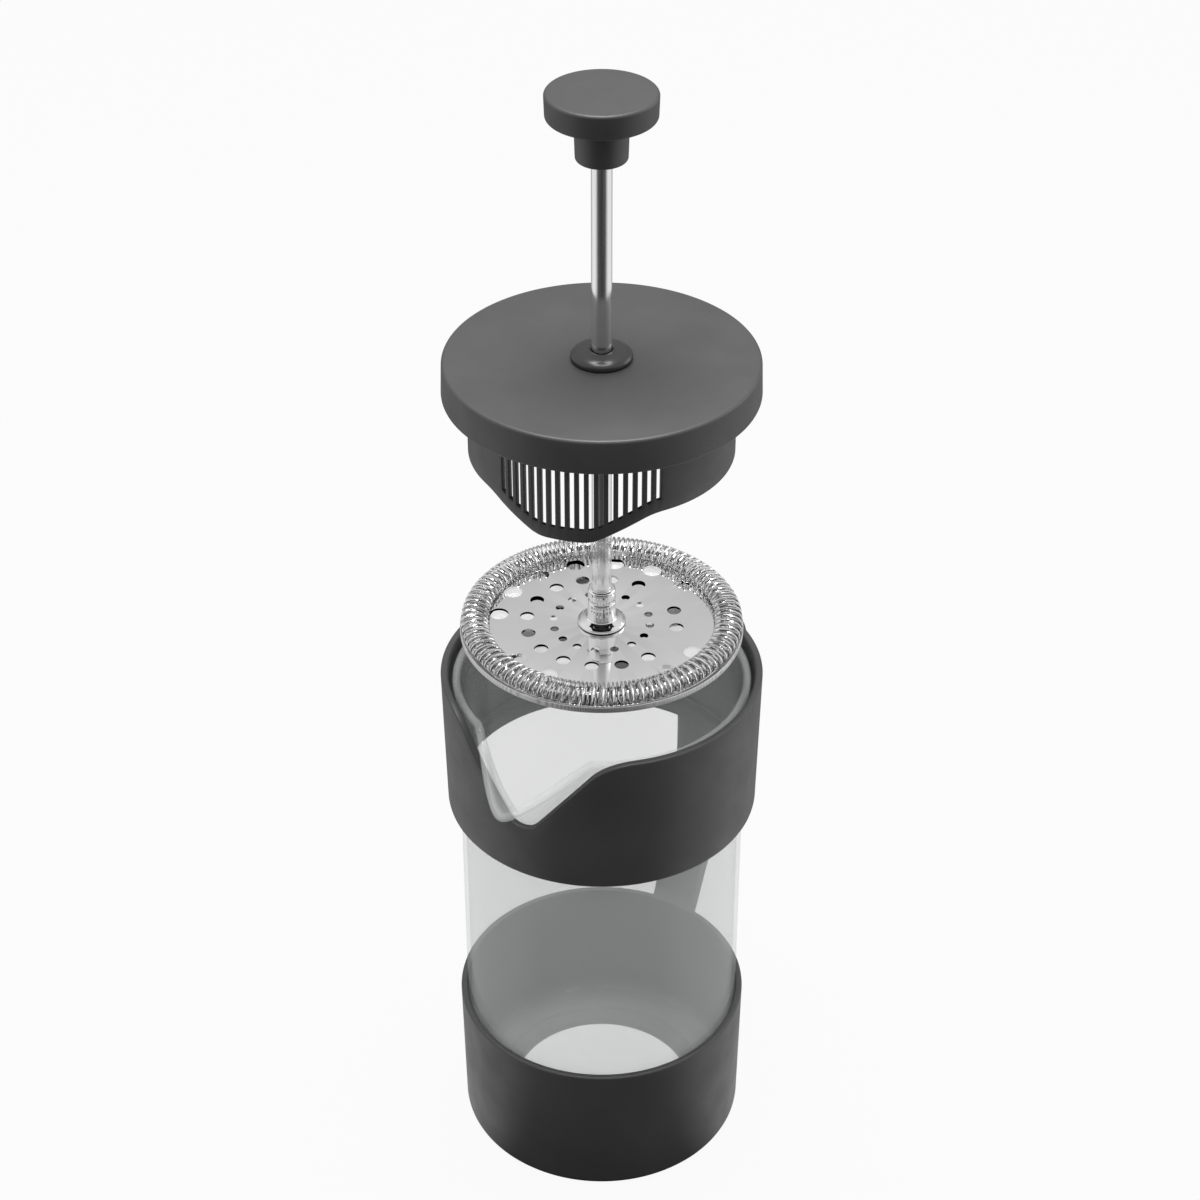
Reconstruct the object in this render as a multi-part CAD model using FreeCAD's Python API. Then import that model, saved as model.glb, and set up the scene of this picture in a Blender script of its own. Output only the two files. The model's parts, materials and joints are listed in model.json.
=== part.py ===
"""French press: a glass beaker in a plastic frame, with its lid and plunger lifted above it.

Millimetres, +Z up.  The origin is on the beaker's axis, on the surface that the foot
stands on.  The spout points along -X and the handle along +X.
"""

import FreeCAD, Part
import math
import os

from FreeCAD import Vector

# ---------------------------------------------------------------- driving dimensions
# Glass beaker
GLASS_R = 47.8              # outside radius of the beaker's wall
GLASS_WALL = 1.4
GLASS_FLOOR = 2.2
GLASS_CORNER_R = 5.0        # outside radius between wall and floor
RIM_Z = 190.7               # top of the beaker's rim
RIM_BEAD_OUT = 1.5          # how far the fire-polished rim stands out from the wall
RIM_BEAD_H = 3.0
SPOUT_OUT = 17.7            # how far the spout's tip stands out from the wall
SPOUT_DROP = 16.2           # how far the tip lies below the rim
SPOUT_SPREAD = 24.0         # half angle of the spout where it leaves the rim, degrees
SPOUT_KEEL_DROP = 26.4      # where the spout's keel leaves the wall, below the rim
SPOUT_TIP_DEPTH = 3.2
SPOUT_TIP_HALF_W = 2.6

# Plastic frame: collar, base cup and their soft rings
COLLAR_OFF = 4.2            # from the glass to the collar's outside, at its lower edge
COLLAR_FLARE = 1.0          # how much wider the collar is at its top
COLLAR_WALL = 2.5
COLLAR_DROP = 48.5          # from the glass rim down to the collar's lower edge
COLLAR_RISE = 2.3           # how far the collar's edge stands above the glass rim
COLLAR_LIP_H = 4.5
NOTCH_DROP = 26.7           # from the glass rim down to the notch's bottom
NOTCH_HALF_W = 4.9          # half width of the notch's flat, between its flanks
NOTCH_FLANK_DEG = 51.4      # slope of the flanks
NOTCH_BOTTOM_R = 8.0
NOTCH_SHOULDER_R = 16.0
GLASS_FIT = 0.25            # gap between the glass and the plastic round it
SEAL_H = 4.0
SEAL_SQUEEZE_GAP = 0.08     # gap left between the seal and the glass
BASE_OFF = 1.6              # from the glass to the base cup's outside, at its foot
BASE_FLARE = 0.8
BASE_TOP_Z = 54.3
BASE_CORNER_R = 2.5
BASE_FLOOR = 3.0
BASE_LEDGE = 5.0            # floor left inside the cushion, round the hole
CUSHION_H = 2.2
CUSHION_W = 5.8
FOOT_STAND = 1.0            # how far the foot ring stands out below the base cup
FOOT_INSET = 4.9            # from the base cup's outside to the foot ring
FOOT_W = 6.0
FOOT_GROOVE = 1.2
FOOT_EDGE_R = 0.4

# Handle
HANDLE_W_TOP = 24.0
HANDLE_W_LOW = 16.0
HANDLE_OUT = 33.0           # from the collar to the handle's outer top corner
HANDLE_TOP_DROP = 19.7      # from the glass rim down to the top of the handle
HANDLE_ARM_FALL = 1.0       # how much lower the arm is at its outer end
HANDLE_THICK = 11.5
HANDLE_LINER = 3.2
HANDLE_CORNER_R = 11.0
HANDLE_KNEE_IN = 3.5        # how much nearer to the glass the knee is than the top corner
HANDLE_KNEE_DROP = 12.0     # the knee's outside, below halfway
HANDLE_KNEE_R = 60.0
HANDLE_KNEE_INNER_R = 48.0
HANDLE_FOOT_DROP = 2.3      # from the base cup's edge down to the handle's foot
HANDLE_FOOT_H = 15.0
HANDLE_FOOT_OUT = 4.0       # from the base cup's outside to the heel of the handle
HANDLE_ROOT = 4.0           # how far the handle's outline runs into the frame before it is cut
HANDLE_FIT = 0.1            # gap between the handle and the frame that it is screwed to
SCREW_R = 1.5
SCREW_HEAD_R = 2.9
SCREW_HEAD_H = 1.4
SCREW_LENGTH = 13.0         # the two in the collar
FOOT_SCREW_LENGTH = 6.8     # the one in the base cup
SCREW_PLAY = 0.1

# Lid
LID_LIFT = 107.2            # the lid's height above its seat on the glass rim
LID_RIM_GAP = 0.7           # gap between the lid and the collar's inside
LID_H = 11.2
LID_DRAFT = 0.5
LID_WALL = 2.2
LID_EDGE_R = 0.9
LID_BOSS_WALL = 3.4         # from the nut to the outside of the boss round it
STRAINER_IN = 4.2           # gap between the strainer and the inside of the glass
STRAINER_WALL = 1.6
STRAINER_H = 17.2           # depth of the strainer's skirt below the lid
STRAINER_FLANGE_W = 3.8
STRAINER_FLANGE_H = 1.6
STRAINER_TUCK = 1.5         # how far the strainer's flange sits up inside the lid
TONGUE_H = 10.2             # extra depth of the strainer's tongue
TONGUE_HALF_DEG = 34.0
TONGUE_FLAT = 0.42          # share of the tongue's width that reaches full depth
LID_TURN_DEG = 20.0         # how far the tongue is turned past the spout
SLOT_COUNT = 18
SLOT_PITCH_DEG = 4.1
SLOT_W = 1.55
SLOT_LAND = 4.2             # plastic left below each slot

# Rod guide in the lid
BUSHING_WALL = 3.4          # from the rod to the outside of the bushing's shank
BUSHING_BRIM = 3.2          # how far the dome reaches past the shank
BUSHING_DOME = 3.4
BUSHING_MOUTH = 1.4         # from the rod to the edge of the countersunk mouth
BUSHING_THREAD_IN = 1.2     # how much thinner the shank is where the nut holds it
NUT_WALL = 2.2              # how far the nut reaches past the shank
NUT_H = 3.0
TURN_GAP = 0.3              # gap between the bushing and the lid that turns on it

# Plunger
ROD_R = 3.0
ROD_FIT = 0.06              # running gap of the rod in its guide
THREAD_SHOULDER = 0.5       # how much thinner the rod is at its thread
THREAD_PITCH = 0.8
THREAD_TURNS = 10           # turns of thread that the hub holds when it is done up
THREAD_FIT = 0.08
KNOB_RISE = 66.4            # from the lid up to the knob's stem
KNOB_TALL = 22.8            # disc and stem together
KNOB_R = 16.6
KNOB_H = 7.5
KNOB_DRAFT = 0.25
KNOB_EDGE_R = 1.0
KNOB_STEM_WALL = 3.0        # plastic round the insert at the stem's lower end
KNOB_STEM_FLARE = 0.4
INSERT_WALL = 1.4
INSERT_H = 12.0
FERRULE_WALL = 1.7
FERRULE_H = 12.5
FERRULE_BRIM = 5.1          # how far the ferrule's flange reaches past its barrel
FERRULE_FLANGE_H = 1.6
FERRULE_SHOULDER = 3.0      # how far the rod's thick part stops above the plate

# Filter stack
FILTER_FIT = 0.3            # gap between the screen's edge and the glass
PLATE_RISE = 21.1           # from the glass rim up to the perforated plate's top face
PLATE_THICK = 0.8
PLATE_MARGIN = 3.3          # from the coil's inside to the plate's flat
PLATE_SLANT = 1.6
PLATE_STEP = 2.6
PLATE_EDGE_SHARE = 0.75     # how far under the coil the plate's rim reaches
COIL_BAND = 3.5             # radius of the coil that runs round the plate
COIL_GAP = 0.9              # gap between the coil and the screen's upturned edge
SCREEN_THICK = 0.5
SCREEN_EDGE_H = 5.0
CROSS_THICK = 1.0
CROSS_IN = 3.1              # from the screen's edge to the cross plate
CROSS_RING_W = 5.0
CROSS_ARM_W = 11.0
CROSS_ARMS = 4
HUB_WALL = 3.1
HUB_RIVET = 1.0             # step at the hub's top, where it is riveted in
HUB_LAND = 1.0              # plain end of the hub, below the rod's end
STACK_GAP = 0.15            # air between the loose discs of the stack
STACK_PLAY = 0.4            # gap between the thread and the discs that it runs through
SPOKES = 16
SPOKE_HOLES = ((4.5, 2.85), (12.9, 2.0), (21.0, 1.2))    # in from the flat's edge, and radius
SLIP = 0.05                 # gap between pieces that are pressed or glued together

# ---------------------------------------------------------------- sizes that follow
GLASS_INNER_R = GLASS_R - GLASS_WALL
RIM_BEAD_R = GLASS_R + RIM_BEAD_OUT
SPOUT_REACH = GLASS_R + SPOUT_OUT
COLLAR_R_LOW = GLASS_R + COLLAR_OFF
COLLAR_R_TOP = COLLAR_R_LOW + COLLAR_FLARE
COLLAR_TOP_Z = RIM_Z + COLLAR_RISE
COLLAR_LOW_Z = RIM_Z - COLLAR_DROP
NOTCH_BOTTOM_Z = RIM_Z - NOTCH_DROP
BASE_R_LOW = GLASS_R + BASE_OFF
BASE_R_TOP = BASE_R_LOW + BASE_FLARE
CUSHION_OUTER_R = GLASS_R - GLASS_CORNER_R
CUSHION_INNER_R = CUSHION_OUTER_R - CUSHION_W
BASE_HOLE_R = CUSHION_INNER_R - BASE_LEDGE
FOOT_OUTER_R = BASE_R_LOW - FOOT_INSET
FOOT_INNER_R = FOOT_OUTER_R - FOOT_W
HANDLE_REACH = COLLAR_R_TOP + HANDLE_OUT
HANDLE_TOP_Z = RIM_Z - HANDLE_TOP_DROP
HANDLE_FOOT_TOP_Z = BASE_TOP_Z - HANDLE_FOOT_DROP
HANDLE_FOOT_LOW_Z = HANDLE_FOOT_TOP_Z - HANDLE_FOOT_H
BASE_LOW_Z = FOOT_STAND
BASE_FLOOR_Z = BASE_LOW_Z + BASE_FLOOR
GLASS_LOW_Z = BASE_FLOOR_Z + CUSHION_H
SPOUT_TIP_Z = RIM_Z - SPOUT_DROP
LID_LOW_Z = RIM_Z + LID_LIFT
LID_TOP_Z = LID_LOW_Z + LID_H
LID_R = COLLAR_R_TOP - COLLAR_WALL - LID_RIM_GAP
STRAINER_R = GLASS_INNER_R - STRAINER_IN
STRAINER_FLANGE_R = STRAINER_R + STRAINER_FLANGE_W
STRAINER_LOW_Z = LID_LOW_Z - STRAINER_H
TONGUE_HALF_W = STRAINER_R * math.sin(math.radians(TONGUE_HALF_DEG))
THREAD_R = ROD_R - THREAD_SHOULDER
BUSHING_SHANK_R = ROD_R + BUSHING_WALL
BUSHING_R = BUSHING_SHANK_R + BUSHING_BRIM
BUSHING_MOUTH_R = ROD_R + BUSHING_MOUTH
BUSHING_THREAD_R = BUSHING_SHANK_R - BUSHING_THREAD_IN
NUT_R = BUSHING_SHANK_R + NUT_WALL
LID_BOSS_R = NUT_R + LID_BOSS_WALL
KNOB_LOW_Z = LID_TOP_Z + KNOB_RISE
KNOB_TOP_Z = KNOB_LOW_Z + KNOB_TALL
INSERT_R = ROD_R + INSERT_WALL
KNOB_STEM_R_LOW = INSERT_R + KNOB_STEM_WALL
KNOB_STEM_R_TOP = KNOB_STEM_R_LOW + KNOB_STEM_FLARE
FERRULE_R = ROD_R + FERRULE_WALL
FERRULE_FLANGE_R = FERRULE_R + FERRULE_BRIM
FILTER_R = GLASS_INNER_R - FILTER_FIT
CROSS_R = FILTER_R - CROSS_IN
HUB_R = THREAD_R + HUB_WALL
PLATE_Z = RIM_Z + PLATE_RISE
NUT_TOP_Z = LID_LOW_Z - TURN_GAP
NUT_LOW_Z = NUT_TOP_Z - NUT_H
LID_BORE_R = BUSHING_SHANK_R + TURN_GAP
PLATE_LOW_Z = PLATE_Z - PLATE_THICK
SEAT_Z = PLATE_Z - PLATE_STEP
COIL_R = FILTER_R - COIL_GAP - COIL_BAND - SCREEN_THICK
COIL_Z = SEAT_Z + COIL_BAND + STACK_GAP
PLATE_FLAT_R = COIL_R - COIL_BAND - PLATE_MARGIN
SCREEN_TOP_Z = SEAT_Z - PLATE_THICK - STACK_GAP
SCREEN_LOW_Z = SCREEN_TOP_Z - SCREEN_THICK
CROSS_TOP_Z = SCREEN_LOW_Z - STACK_GAP
CROSS_LOW_Z = CROSS_TOP_Z - CROSS_THICK
ROD_LOW_Z = CROSS_TOP_Z - THREAD_TURNS * THREAD_PITCH
HUB_LOW_Z = ROD_LOW_Z - HUB_LAND
SHOULDER_Z = PLATE_Z + STACK_GAP
THICK_LOW_Z = SHOULDER_Z + FERRULE_SHOULDER
STACK_BORE_R = THREAD_R + STACK_PLAY
UP = Vector(0, 0, 1)
OVER = 1.0                  # how far a cutting body reaches past the face that it opens
FAR = 400.0                 # longer than any cut has to reach


# ---------------------------------------------------------------- helpers
def save(shape, node):
    """Write one sub-part to its own STEP file."""
    shape.exportStep("parts/" + node + ".step")


def cylinder(radius, low, high, x=0.0, y=0.0):
    return Part.makeCylinder(radius, high - low, Vector(x, y, low), UP)


def tube(outer, inner, low, high):
    return cylinder(outer, low, high).cut(cylinder(inner, low - OVER, high + OVER))


def cone(r_low, r_high, low, high):
    """A straight-sided round body; equal radii give a cylinder."""
    if abs(r_low - r_high) < 1e-6:
        return cylinder(r_low, low, high)
    return Part.makeCone(r_low, r_high, high - low, Vector(0, 0, low), UP)


def revolve(points):
    """Turn a closed outline of (radius, height) points round the axis."""
    corners = [Vector(r, 0, z) for r, z in points]
    face = Part.Face(Part.makePolygon(corners + corners[:1]))
    return face.revolve(Vector(0, 0, 0), UP, 360)


def rounded_outline(points):
    """Closed face in the XZ plane from (x, z, corner radius) points."""
    count = len(points)
    edges = []
    starts = []
    ends = []
    mids = []
    for i, (x, z, radius) in enumerate(points):
        here = Vector(x, 0, z)
        back = Vector(points[i - 1][0], 0, points[i - 1][1]) - here
        ahead = Vector(points[(i + 1) % count][0], 0, points[(i + 1) % count][1]) - here
        back.normalize()
        ahead.normalize()
        if radius <= 0:
            starts.append(here)
            ends.append(here)
            mids.append(None)
            continue
        half = back.getAngle(ahead) / 2
        run = radius / math.tan(half)
        middle = back + ahead
        middle.normalize()
        starts.append(here + back * run)
        ends.append(here + ahead * run)
        mids.append(here + middle * (radius / math.sin(half) - radius))
    for i in range(count):
        if mids[i] is not None:
            edges.append(Part.Arc(starts[i], mids[i], ends[i]).toShape())
        after = starts[(i + 1) % count]
        if (after - ends[i]).Length > 1e-6:
            edges.append(Part.LineSegment(ends[i], after).toShape())
    return Part.Face(Part.Wire(edges))


def through_y(face, half_width):
    """Push an XZ face through the object along Y, equally to both sides."""
    solid = face.extrude(Vector(0, 2 * half_width, 0))
    solid.translate(Vector(0, -half_width, 0))
    return solid


def turned(shape, degrees):
    copy = shape.copy()
    copy.rotate(Vector(0, 0, 0), UP, degrees)
    return copy


def edges_at(shape, z, radius):
    """The round edges of a shape that lie at one height and radius."""
    found = []
    for edge in shape.Edges:
        curve = edge.Curve
        if not isinstance(curve, Part.Circle):
            continue
        if abs(curve.Center.z - z) < 1e-3 and abs(curve.Radius - radius) < 1e-3:
            found.append(edge)
    return found


# ---------------------------------------------------------------- glass beaker
def spout_trough(depth, lift):
    """The V that the spout's keel and flanks make, filled up to a line above its lip."""
    wall_x = RIM_BEAD_R * math.cos(math.radians(SPOUT_SPREAD))
    wall_y = RIM_BEAD_R * math.sin(math.radians(SPOUT_SPREAD))
    inner_x = GLASS_INNER_R - 8.0
    tip_x = SPOUT_REACH - SPOUT_TIP_HALF_W
    share = (wall_x - inner_x) / (tip_x - wall_x)
    keel_z = RIM_Z - SPOUT_KEEL_DROP
    tip_keel = SPOUT_TIP_Z - SPOUT_TIP_DEPTH
    keel_slope = (tip_keel - keel_z) / (tip_x - GLASS_R)
    sections = (
        (inner_x, wall_y + share * (wall_y - SPOUT_TIP_HALF_W),
         RIM_Z - 0.5 + share * SPOUT_DROP, keel_z - keel_slope * (GLASS_R - inner_x)),
        (tip_x, SPOUT_TIP_HALF_W, SPOUT_TIP_Z, tip_keel),
    )
    wires = []
    for x, half, lip, keel in sections:
        slope = half / (lip - keel)
        drop = depth / math.sin(math.atan(slope))
        top = lip + lift
        wide = (top - keel - drop) * slope
        corners = [Vector(-x, -wide, top), Vector(-x, 0, keel + drop), Vector(-x, wide, top)]
        wires.append(Part.makePolygon(corners + corners[:1]))
    return Part.makeLoft(wires, True, True)


def glass_beaker():
    outer = cylinder(GLASS_R, GLASS_LOW_Z, RIM_Z)
    outer = outer.makeFillet(GLASS_CORNER_R, edges_at(outer, GLASS_LOW_Z, GLASS_R))
    bead = cone(GLASS_R - 0.1, RIM_BEAD_R, RIM_Z - RIM_BEAD_H, RIM_Z - RIM_BEAD_H / 2)
    bead = bead.fuse(cylinder(RIM_BEAD_R, RIM_Z - RIM_BEAD_H / 2, RIM_Z))
    body = outer.fuse(bead).fuse(spout_trough(0.0, 0.0))
    body = body.cut(cylinder(FAR, RIM_Z, RIM_Z + 50))
    well = cylinder(GLASS_INNER_R, GLASS_LOW_Z + GLASS_FLOOR, RIM_Z + 50)
    well = well.makeFillet(GLASS_CORNER_R - GLASS_WALL,
                           edges_at(well, GLASS_LOW_Z + GLASS_FLOOR, GLASS_INNER_R))
    return body.cut(well).cut(spout_trough(GLASS_WALL, 20.0)).removeSplitter()


# ---------------------------------------------------------------- plastic frame
def notch_tool():
    """The wave cut in the collar that the spout looks out of."""
    top = COLLAR_TOP_Z
    flank = math.radians(NOTCH_FLANK_DEG)
    shoulder = NOTCH_HALF_W + (top - NOTCH_BOTTOM_Z) / math.tan(flank)
    side = shoulder + 2 * NOTCH_SHOULDER_R
    outline = [
        (-side, top, 0), (-shoulder, top, NOTCH_SHOULDER_R),
        (-NOTCH_HALF_W, NOTCH_BOTTOM_Z, NOTCH_BOTTOM_R),
        (NOTCH_HALF_W, NOTCH_BOTTOM_Z, NOTCH_BOTTOM_R),
        (shoulder, top, NOTCH_SHOULDER_R), (side, top, 0), (side, top + 30, 0),
        (-side, top + 30, 0),
    ]
    tool = rounded_outline(outline).extrude(Vector(0, COLLAR_R_TOP + 10, 0))
    tool.rotate(Vector(0, 0, 0), UP, 90)
    return tool


def collar():
    lip_inner = GLASS_R + GLASS_FIT
    low_inner = COLLAR_R_LOW - COLLAR_WALL
    shell = cone(COLLAR_R_LOW, COLLAR_R_TOP, COLLAR_LOW_Z, COLLAR_TOP_Z)
    bore = cone(low_inner, COLLAR_R_TOP - COLLAR_WALL, COLLAR_LOW_Z + COLLAR_LIP_H, COLLAR_TOP_Z)
    shell = shell.cut(bore)
    shell = shell.cut(cylinder(lip_inner, COLLAR_LOW_Z - 1, COLLAR_TOP_Z))
    shell = shell.cut(notch_tool())
    for tool in collar_screw_tools():
        shell = shell.cut(tool)
    return shell


def collar_seal():
    """Soft ring on the collar's lip, which grips the glass."""
    low = COLLAR_LOW_Z + COLLAR_LIP_H
    outer = COLLAR_R_LOW - COLLAR_WALL - SLIP
    return tube(outer, GLASS_R + SEAL_SQUEEZE_GAP, low, low + SEAL_H)


def base_cup():
    high = BASE_TOP_Z
    low = BASE_LOW_Z
    shell = cone(BASE_R_LOW, BASE_R_TOP, low, high)
    shell = shell.makeFillet(BASE_CORNER_R, edges_at(shell, low, BASE_R_LOW))
    shell = shell.cut(cylinder(GLASS_R + GLASS_FIT / 2, BASE_FLOOR_Z, high + 1))
    shell = shell.cut(cylinder(BASE_HOLE_R, low - 1, high))
    shell = shell.cut(tube(FOOT_OUTER_R, FOOT_INNER_R, low - 1, low + FOOT_GROOVE))
    for tool in base_screw_tools():
        shell = shell.cut(tool)
    return shell


def base_cushion():
    """Soft ring between the base cup's floor and the glass."""
    return tube(CUSHION_OUTER_R, CUSHION_INNER_R, BASE_FLOOR_Z, GLASS_LOW_Z)


def foot_ring():
    ring = tube(FOOT_OUTER_R, FOOT_INNER_R, 0, FOOT_STAND + FOOT_GROOVE)
    edges = edges_at(ring, 0, FOOT_OUTER_R) + edges_at(ring, 0, FOOT_INNER_R)
    return ring.makeFillet(FOOT_EDGE_R, edges)


# ---------------------------------------------------------------- handle
def handle_outline(inset):
    """The handle seen from the side, its finger side cut back by an inset."""
    wall = BASE_R_LOW - HANDLE_ROOT
    outer_x = HANDLE_REACH
    inner_x = outer_x - HANDLE_THICK + inset
    arm_low = HANDLE_TOP_Z - HANDLE_THICK + inset
    knee_z = (HANDLE_TOP_Z + HANDLE_FOOT_TOP_Z) / 2
    knee_out = outer_x - HANDLE_KNEE_IN
    foot_x = BASE_R_LOW + HANDLE_FOOT_OUT
    tuck = HANDLE_THICK - inset
    return rounded_outline([
        (wall, HANDLE_TOP_Z, 0),
        (outer_x, HANDLE_TOP_Z - HANDLE_ARM_FALL, HANDLE_CORNER_R),
        (knee_out, knee_z - HANDLE_KNEE_DROP, HANDLE_KNEE_R),
        (foot_x, HANDLE_FOOT_LOW_Z + 2.0, 4.0),
        (wall, HANDLE_FOOT_LOW_Z, 0),
        (wall, HANDLE_FOOT_TOP_Z - inset, 0),
        (foot_x - 1.0, HANDLE_FOOT_TOP_Z - inset, 5.0),
        (knee_out - tuck, knee_z - HANDLE_KNEE_DROP + 4.0, HANDLE_KNEE_INNER_R),
        (inner_x, arm_low, HANDLE_CORNER_R - 4.0),
        (wall, arm_low, 0),
    ])


def handle_width():
    """The handle seen from behind: wide at the top, narrow at the foot."""
    top = HANDLE_W_TOP / 2
    low = HANDLE_W_LOW / 2
    corners = [Vector(0, -low, HANDLE_FOOT_LOW_Z - 5), Vector(0, low, HANDLE_FOOT_LOW_Z - 5),
               Vector(0, top, HANDLE_TOP_Z + 5), Vector(0, -top, HANDLE_TOP_Z + 5)]
    face = Part.Face(Part.makePolygon(corners + corners[:1]))
    return face.extrude(Vector(FAR, 0, 0))


def off_the_frame(solid):
    """Cut a handle piece back to the outsides of the collar and the base cup."""
    middle = (BASE_TOP_Z + COLLAR_LOW_Z) / 2
    slope = (COLLAR_R_TOP - COLLAR_R_LOW) / (COLLAR_TOP_Z - COLLAR_LOW_Z)
    r_mid = COLLAR_R_LOW - slope * (COLLAR_LOW_Z - middle) + HANDLE_FIT
    r_far = COLLAR_R_TOP + slope * 10 + HANDLE_FIT
    solid = solid.cut(cone(r_mid, r_far, middle, COLLAR_TOP_Z + 10))
    base_slope = (BASE_R_TOP - BASE_R_LOW) / (BASE_TOP_Z - BASE_LOW_Z)
    r_base = BASE_R_TOP + base_slope * (middle - BASE_TOP_Z) + HANDLE_FIT
    return solid.cut(cone(BASE_R_LOW + HANDLE_FIT, r_base, BASE_LOW_Z, middle))


def handle_grip():
    whole = through_y(handle_outline(0.0), FAR / 2).common(handle_width())
    slab = through_y(handle_outline(HANDLE_LINER), FAR / 2).common(handle_width())
    grip = off_the_frame(slab.common(whole))
    for tool in handle_screw_holes():
        grip = grip.cut(tool)
    return grip


def handle_liner():
    whole = through_y(handle_outline(0.0), FAR / 2).common(handle_width())
    slab = through_y(handle_outline(HANDLE_LINER), FAR / 2)
    return off_the_frame(whole.cut(slab))


# ---------------------------------------------------------------- handle screws
def along_x(radius, start, end, y, z):
    return Part.makeCylinder(radius, end - start, Vector(start, y, z), Vector(1, 0, 0))


def collar_seat_x():
    return COLLAR_R_LOW - COLLAR_WALL


def screw_places():
    """Where each screw sits: x of its head's inner face, y, z and the screw's length."""
    arm_z = HANDLE_TOP_Z - (HANDLE_THICK - HANDLE_LINER) / 2
    foot_z = HANDLE_FOOT_TOP_Z - HANDLE_LINER - SCREW_HEAD_R - 0.6
    spread = HANDLE_W_TOP / 4
    head_x = collar_seat_x() - 0.4
    base_x = GLASS_R + GLASS_FIT
    return [
        (head_x, -spread, arm_z, SCREW_LENGTH),
        (head_x, spread, arm_z, SCREW_LENGTH),
        (base_x, 0.0, foot_z, FOOT_SCREW_LENGTH),
    ]


def screw_clearance(place):
    x, y, z, length = place
    head = along_x(SCREW_HEAD_R + SCREW_PLAY, x - 4, x + SCREW_HEAD_H, y, z)
    return head.fuse(along_x(SCREW_R + 2 * SCREW_PLAY, x, x + length, y, z))


def collar_screw_tools():
    return [screw_clearance(place) for place in screw_places()[:2]]


def base_screw_tools():
    return [screw_clearance(place) for place in screw_places()[2:]]


def handle_screw_holes():
    holes = []
    for x, y, z, length in screw_places():
        holes.append(along_x(SCREW_R + SCREW_PLAY / 2, x, x + length + 0.4, y, z))
    return holes


def handle_screws():
    screws = []
    for x, y, z, length in screw_places():
        head = along_x(SCREW_HEAD_R, x, x + SCREW_HEAD_H - SCREW_PLAY / 2, y, z)
        screws.append(head.fuse(along_x(SCREW_R, x, x + length, y, z)))
    return Part.makeCompound(screws)


# ---------------------------------------------------------------- lid
def lid_cap():
    draft = LID_R - LID_DRAFT
    cap = cone(LID_R, draft, LID_LOW_Z, LID_TOP_Z)
    cap = cap.makeFillet(LID_EDGE_R, edges_at(cap, LID_TOP_Z, draft))
    roof_z = LID_TOP_Z - LID_WALL
    hollow = cylinder(STRAINER_FLANGE_R + SLIP, LID_LOW_Z - OVER, roof_z)
    hollow = hollow.cut(cylinder(LID_BOSS_R, LID_LOW_Z - OVER, roof_z))
    return cap.cut(hollow).cut(cylinder(LID_BORE_R, LID_LOW_Z - OVER, LID_TOP_Z + OVER))


def tongue_tool():
    """What is cut off the skirt so that only the tongue reaches full depth."""
    half = TONGUE_HALF_W
    low = STRAINER_LOW_Z - TONGUE_H
    high = STRAINER_LOW_Z
    wave = TONGUE_H
    outline = [
        (-FAR / 4, low - 5, 0), (-FAR / 4, high, 0), (-half, high, wave),
        (-half * TONGUE_FLAT, low, wave), (half * TONGUE_FLAT, low, wave), (half, high, wave),
        (FAR / 4, high, 0), (FAR / 4, low - 5, 0),
    ]
    front = rounded_outline(outline).extrude(Vector(0, STRAINER_R + 5, 0))
    front.rotate(Vector(0, 0, 0), UP, 90)
    rear = Part.makeBox(STRAINER_R + 5, FAR, high - low + 5,
                        Vector(0, -FAR / 2, low - 5))
    return front.fuse(rear)


def slot_depth(degrees):
    """How far below the skirt's edge the tongue reaches at an angle from its middle."""
    across = abs(math.sin(math.radians(degrees))) * STRAINER_R
    half = TONGUE_HALF_W
    share = (half - across) / (half * (1 - TONGUE_FLAT))
    return TONGUE_H * min(1.0, max(0.0, share - 0.12))


def slot_tools():
    tools = []
    for i in range(SLOT_COUNT):
        angle = (i - (SLOT_COUNT - 1) / 2) * SLOT_PITCH_DEG
        low = STRAINER_LOW_Z - slot_depth(angle) + SLOT_LAND
        high = LID_LOW_Z - STRAINER_TUCK
        box = Part.makeBox(8, SLOT_W, high - low,
                           Vector(-STRAINER_R - 4, -SLOT_W / 2, low))
        tools.append(turned(box, angle))
    return tools


def lid_strainer():
    low = STRAINER_LOW_Z - TONGUE_H
    flange_z = LID_LOW_Z + STRAINER_TUCK
    skirt = tube(STRAINER_R, STRAINER_R - STRAINER_WALL, low, flange_z)
    skirt = skirt.cut(tongue_tool())
    flange_top = flange_z + STRAINER_FLANGE_H
    skirt = skirt.fuse(tube(STRAINER_FLANGE_R, STRAINER_R - STRAINER_WALL, flange_z, flange_top))
    for tool in slot_tools():
        skirt = skirt.cut(tool)
    return turned(skirt, LID_TURN_DEG)


def rod_bushing():
    """Domed guide in the lid's middle, with a countersunk mouth round the rod."""
    bore = ROD_R + ROD_FIT
    top = LID_TOP_Z + BUSHING_DOME
    seat = LID_TOP_Z + 0.2
    return revolve([
        (bore, NUT_LOW_Z - OVER), (BUSHING_THREAD_R, NUT_LOW_Z - OVER),
        (BUSHING_THREAD_R, NUT_TOP_Z), (BUSHING_SHANK_R, NUT_TOP_Z),
        (BUSHING_SHANK_R, seat), (BUSHING_R, seat), (BUSHING_R, seat + BUSHING_DOME * 0.35),
        (BUSHING_R * 0.93, seat + BUSHING_DOME * 0.62),
        (BUSHING_R * 0.80, seat + BUSHING_DOME * 0.82),
        (BUSHING_R * 0.60, top - 0.1), (BUSHING_MOUTH_R, top),
        (BUSHING_MOUTH_R, top - 1.5), (bore, top - 4.0),
    ])


def bushing_nut():
    return tube(NUT_R, BUSHING_THREAD_R + SLIP, NUT_LOW_Z, NUT_TOP_Z - SLIP)


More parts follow.
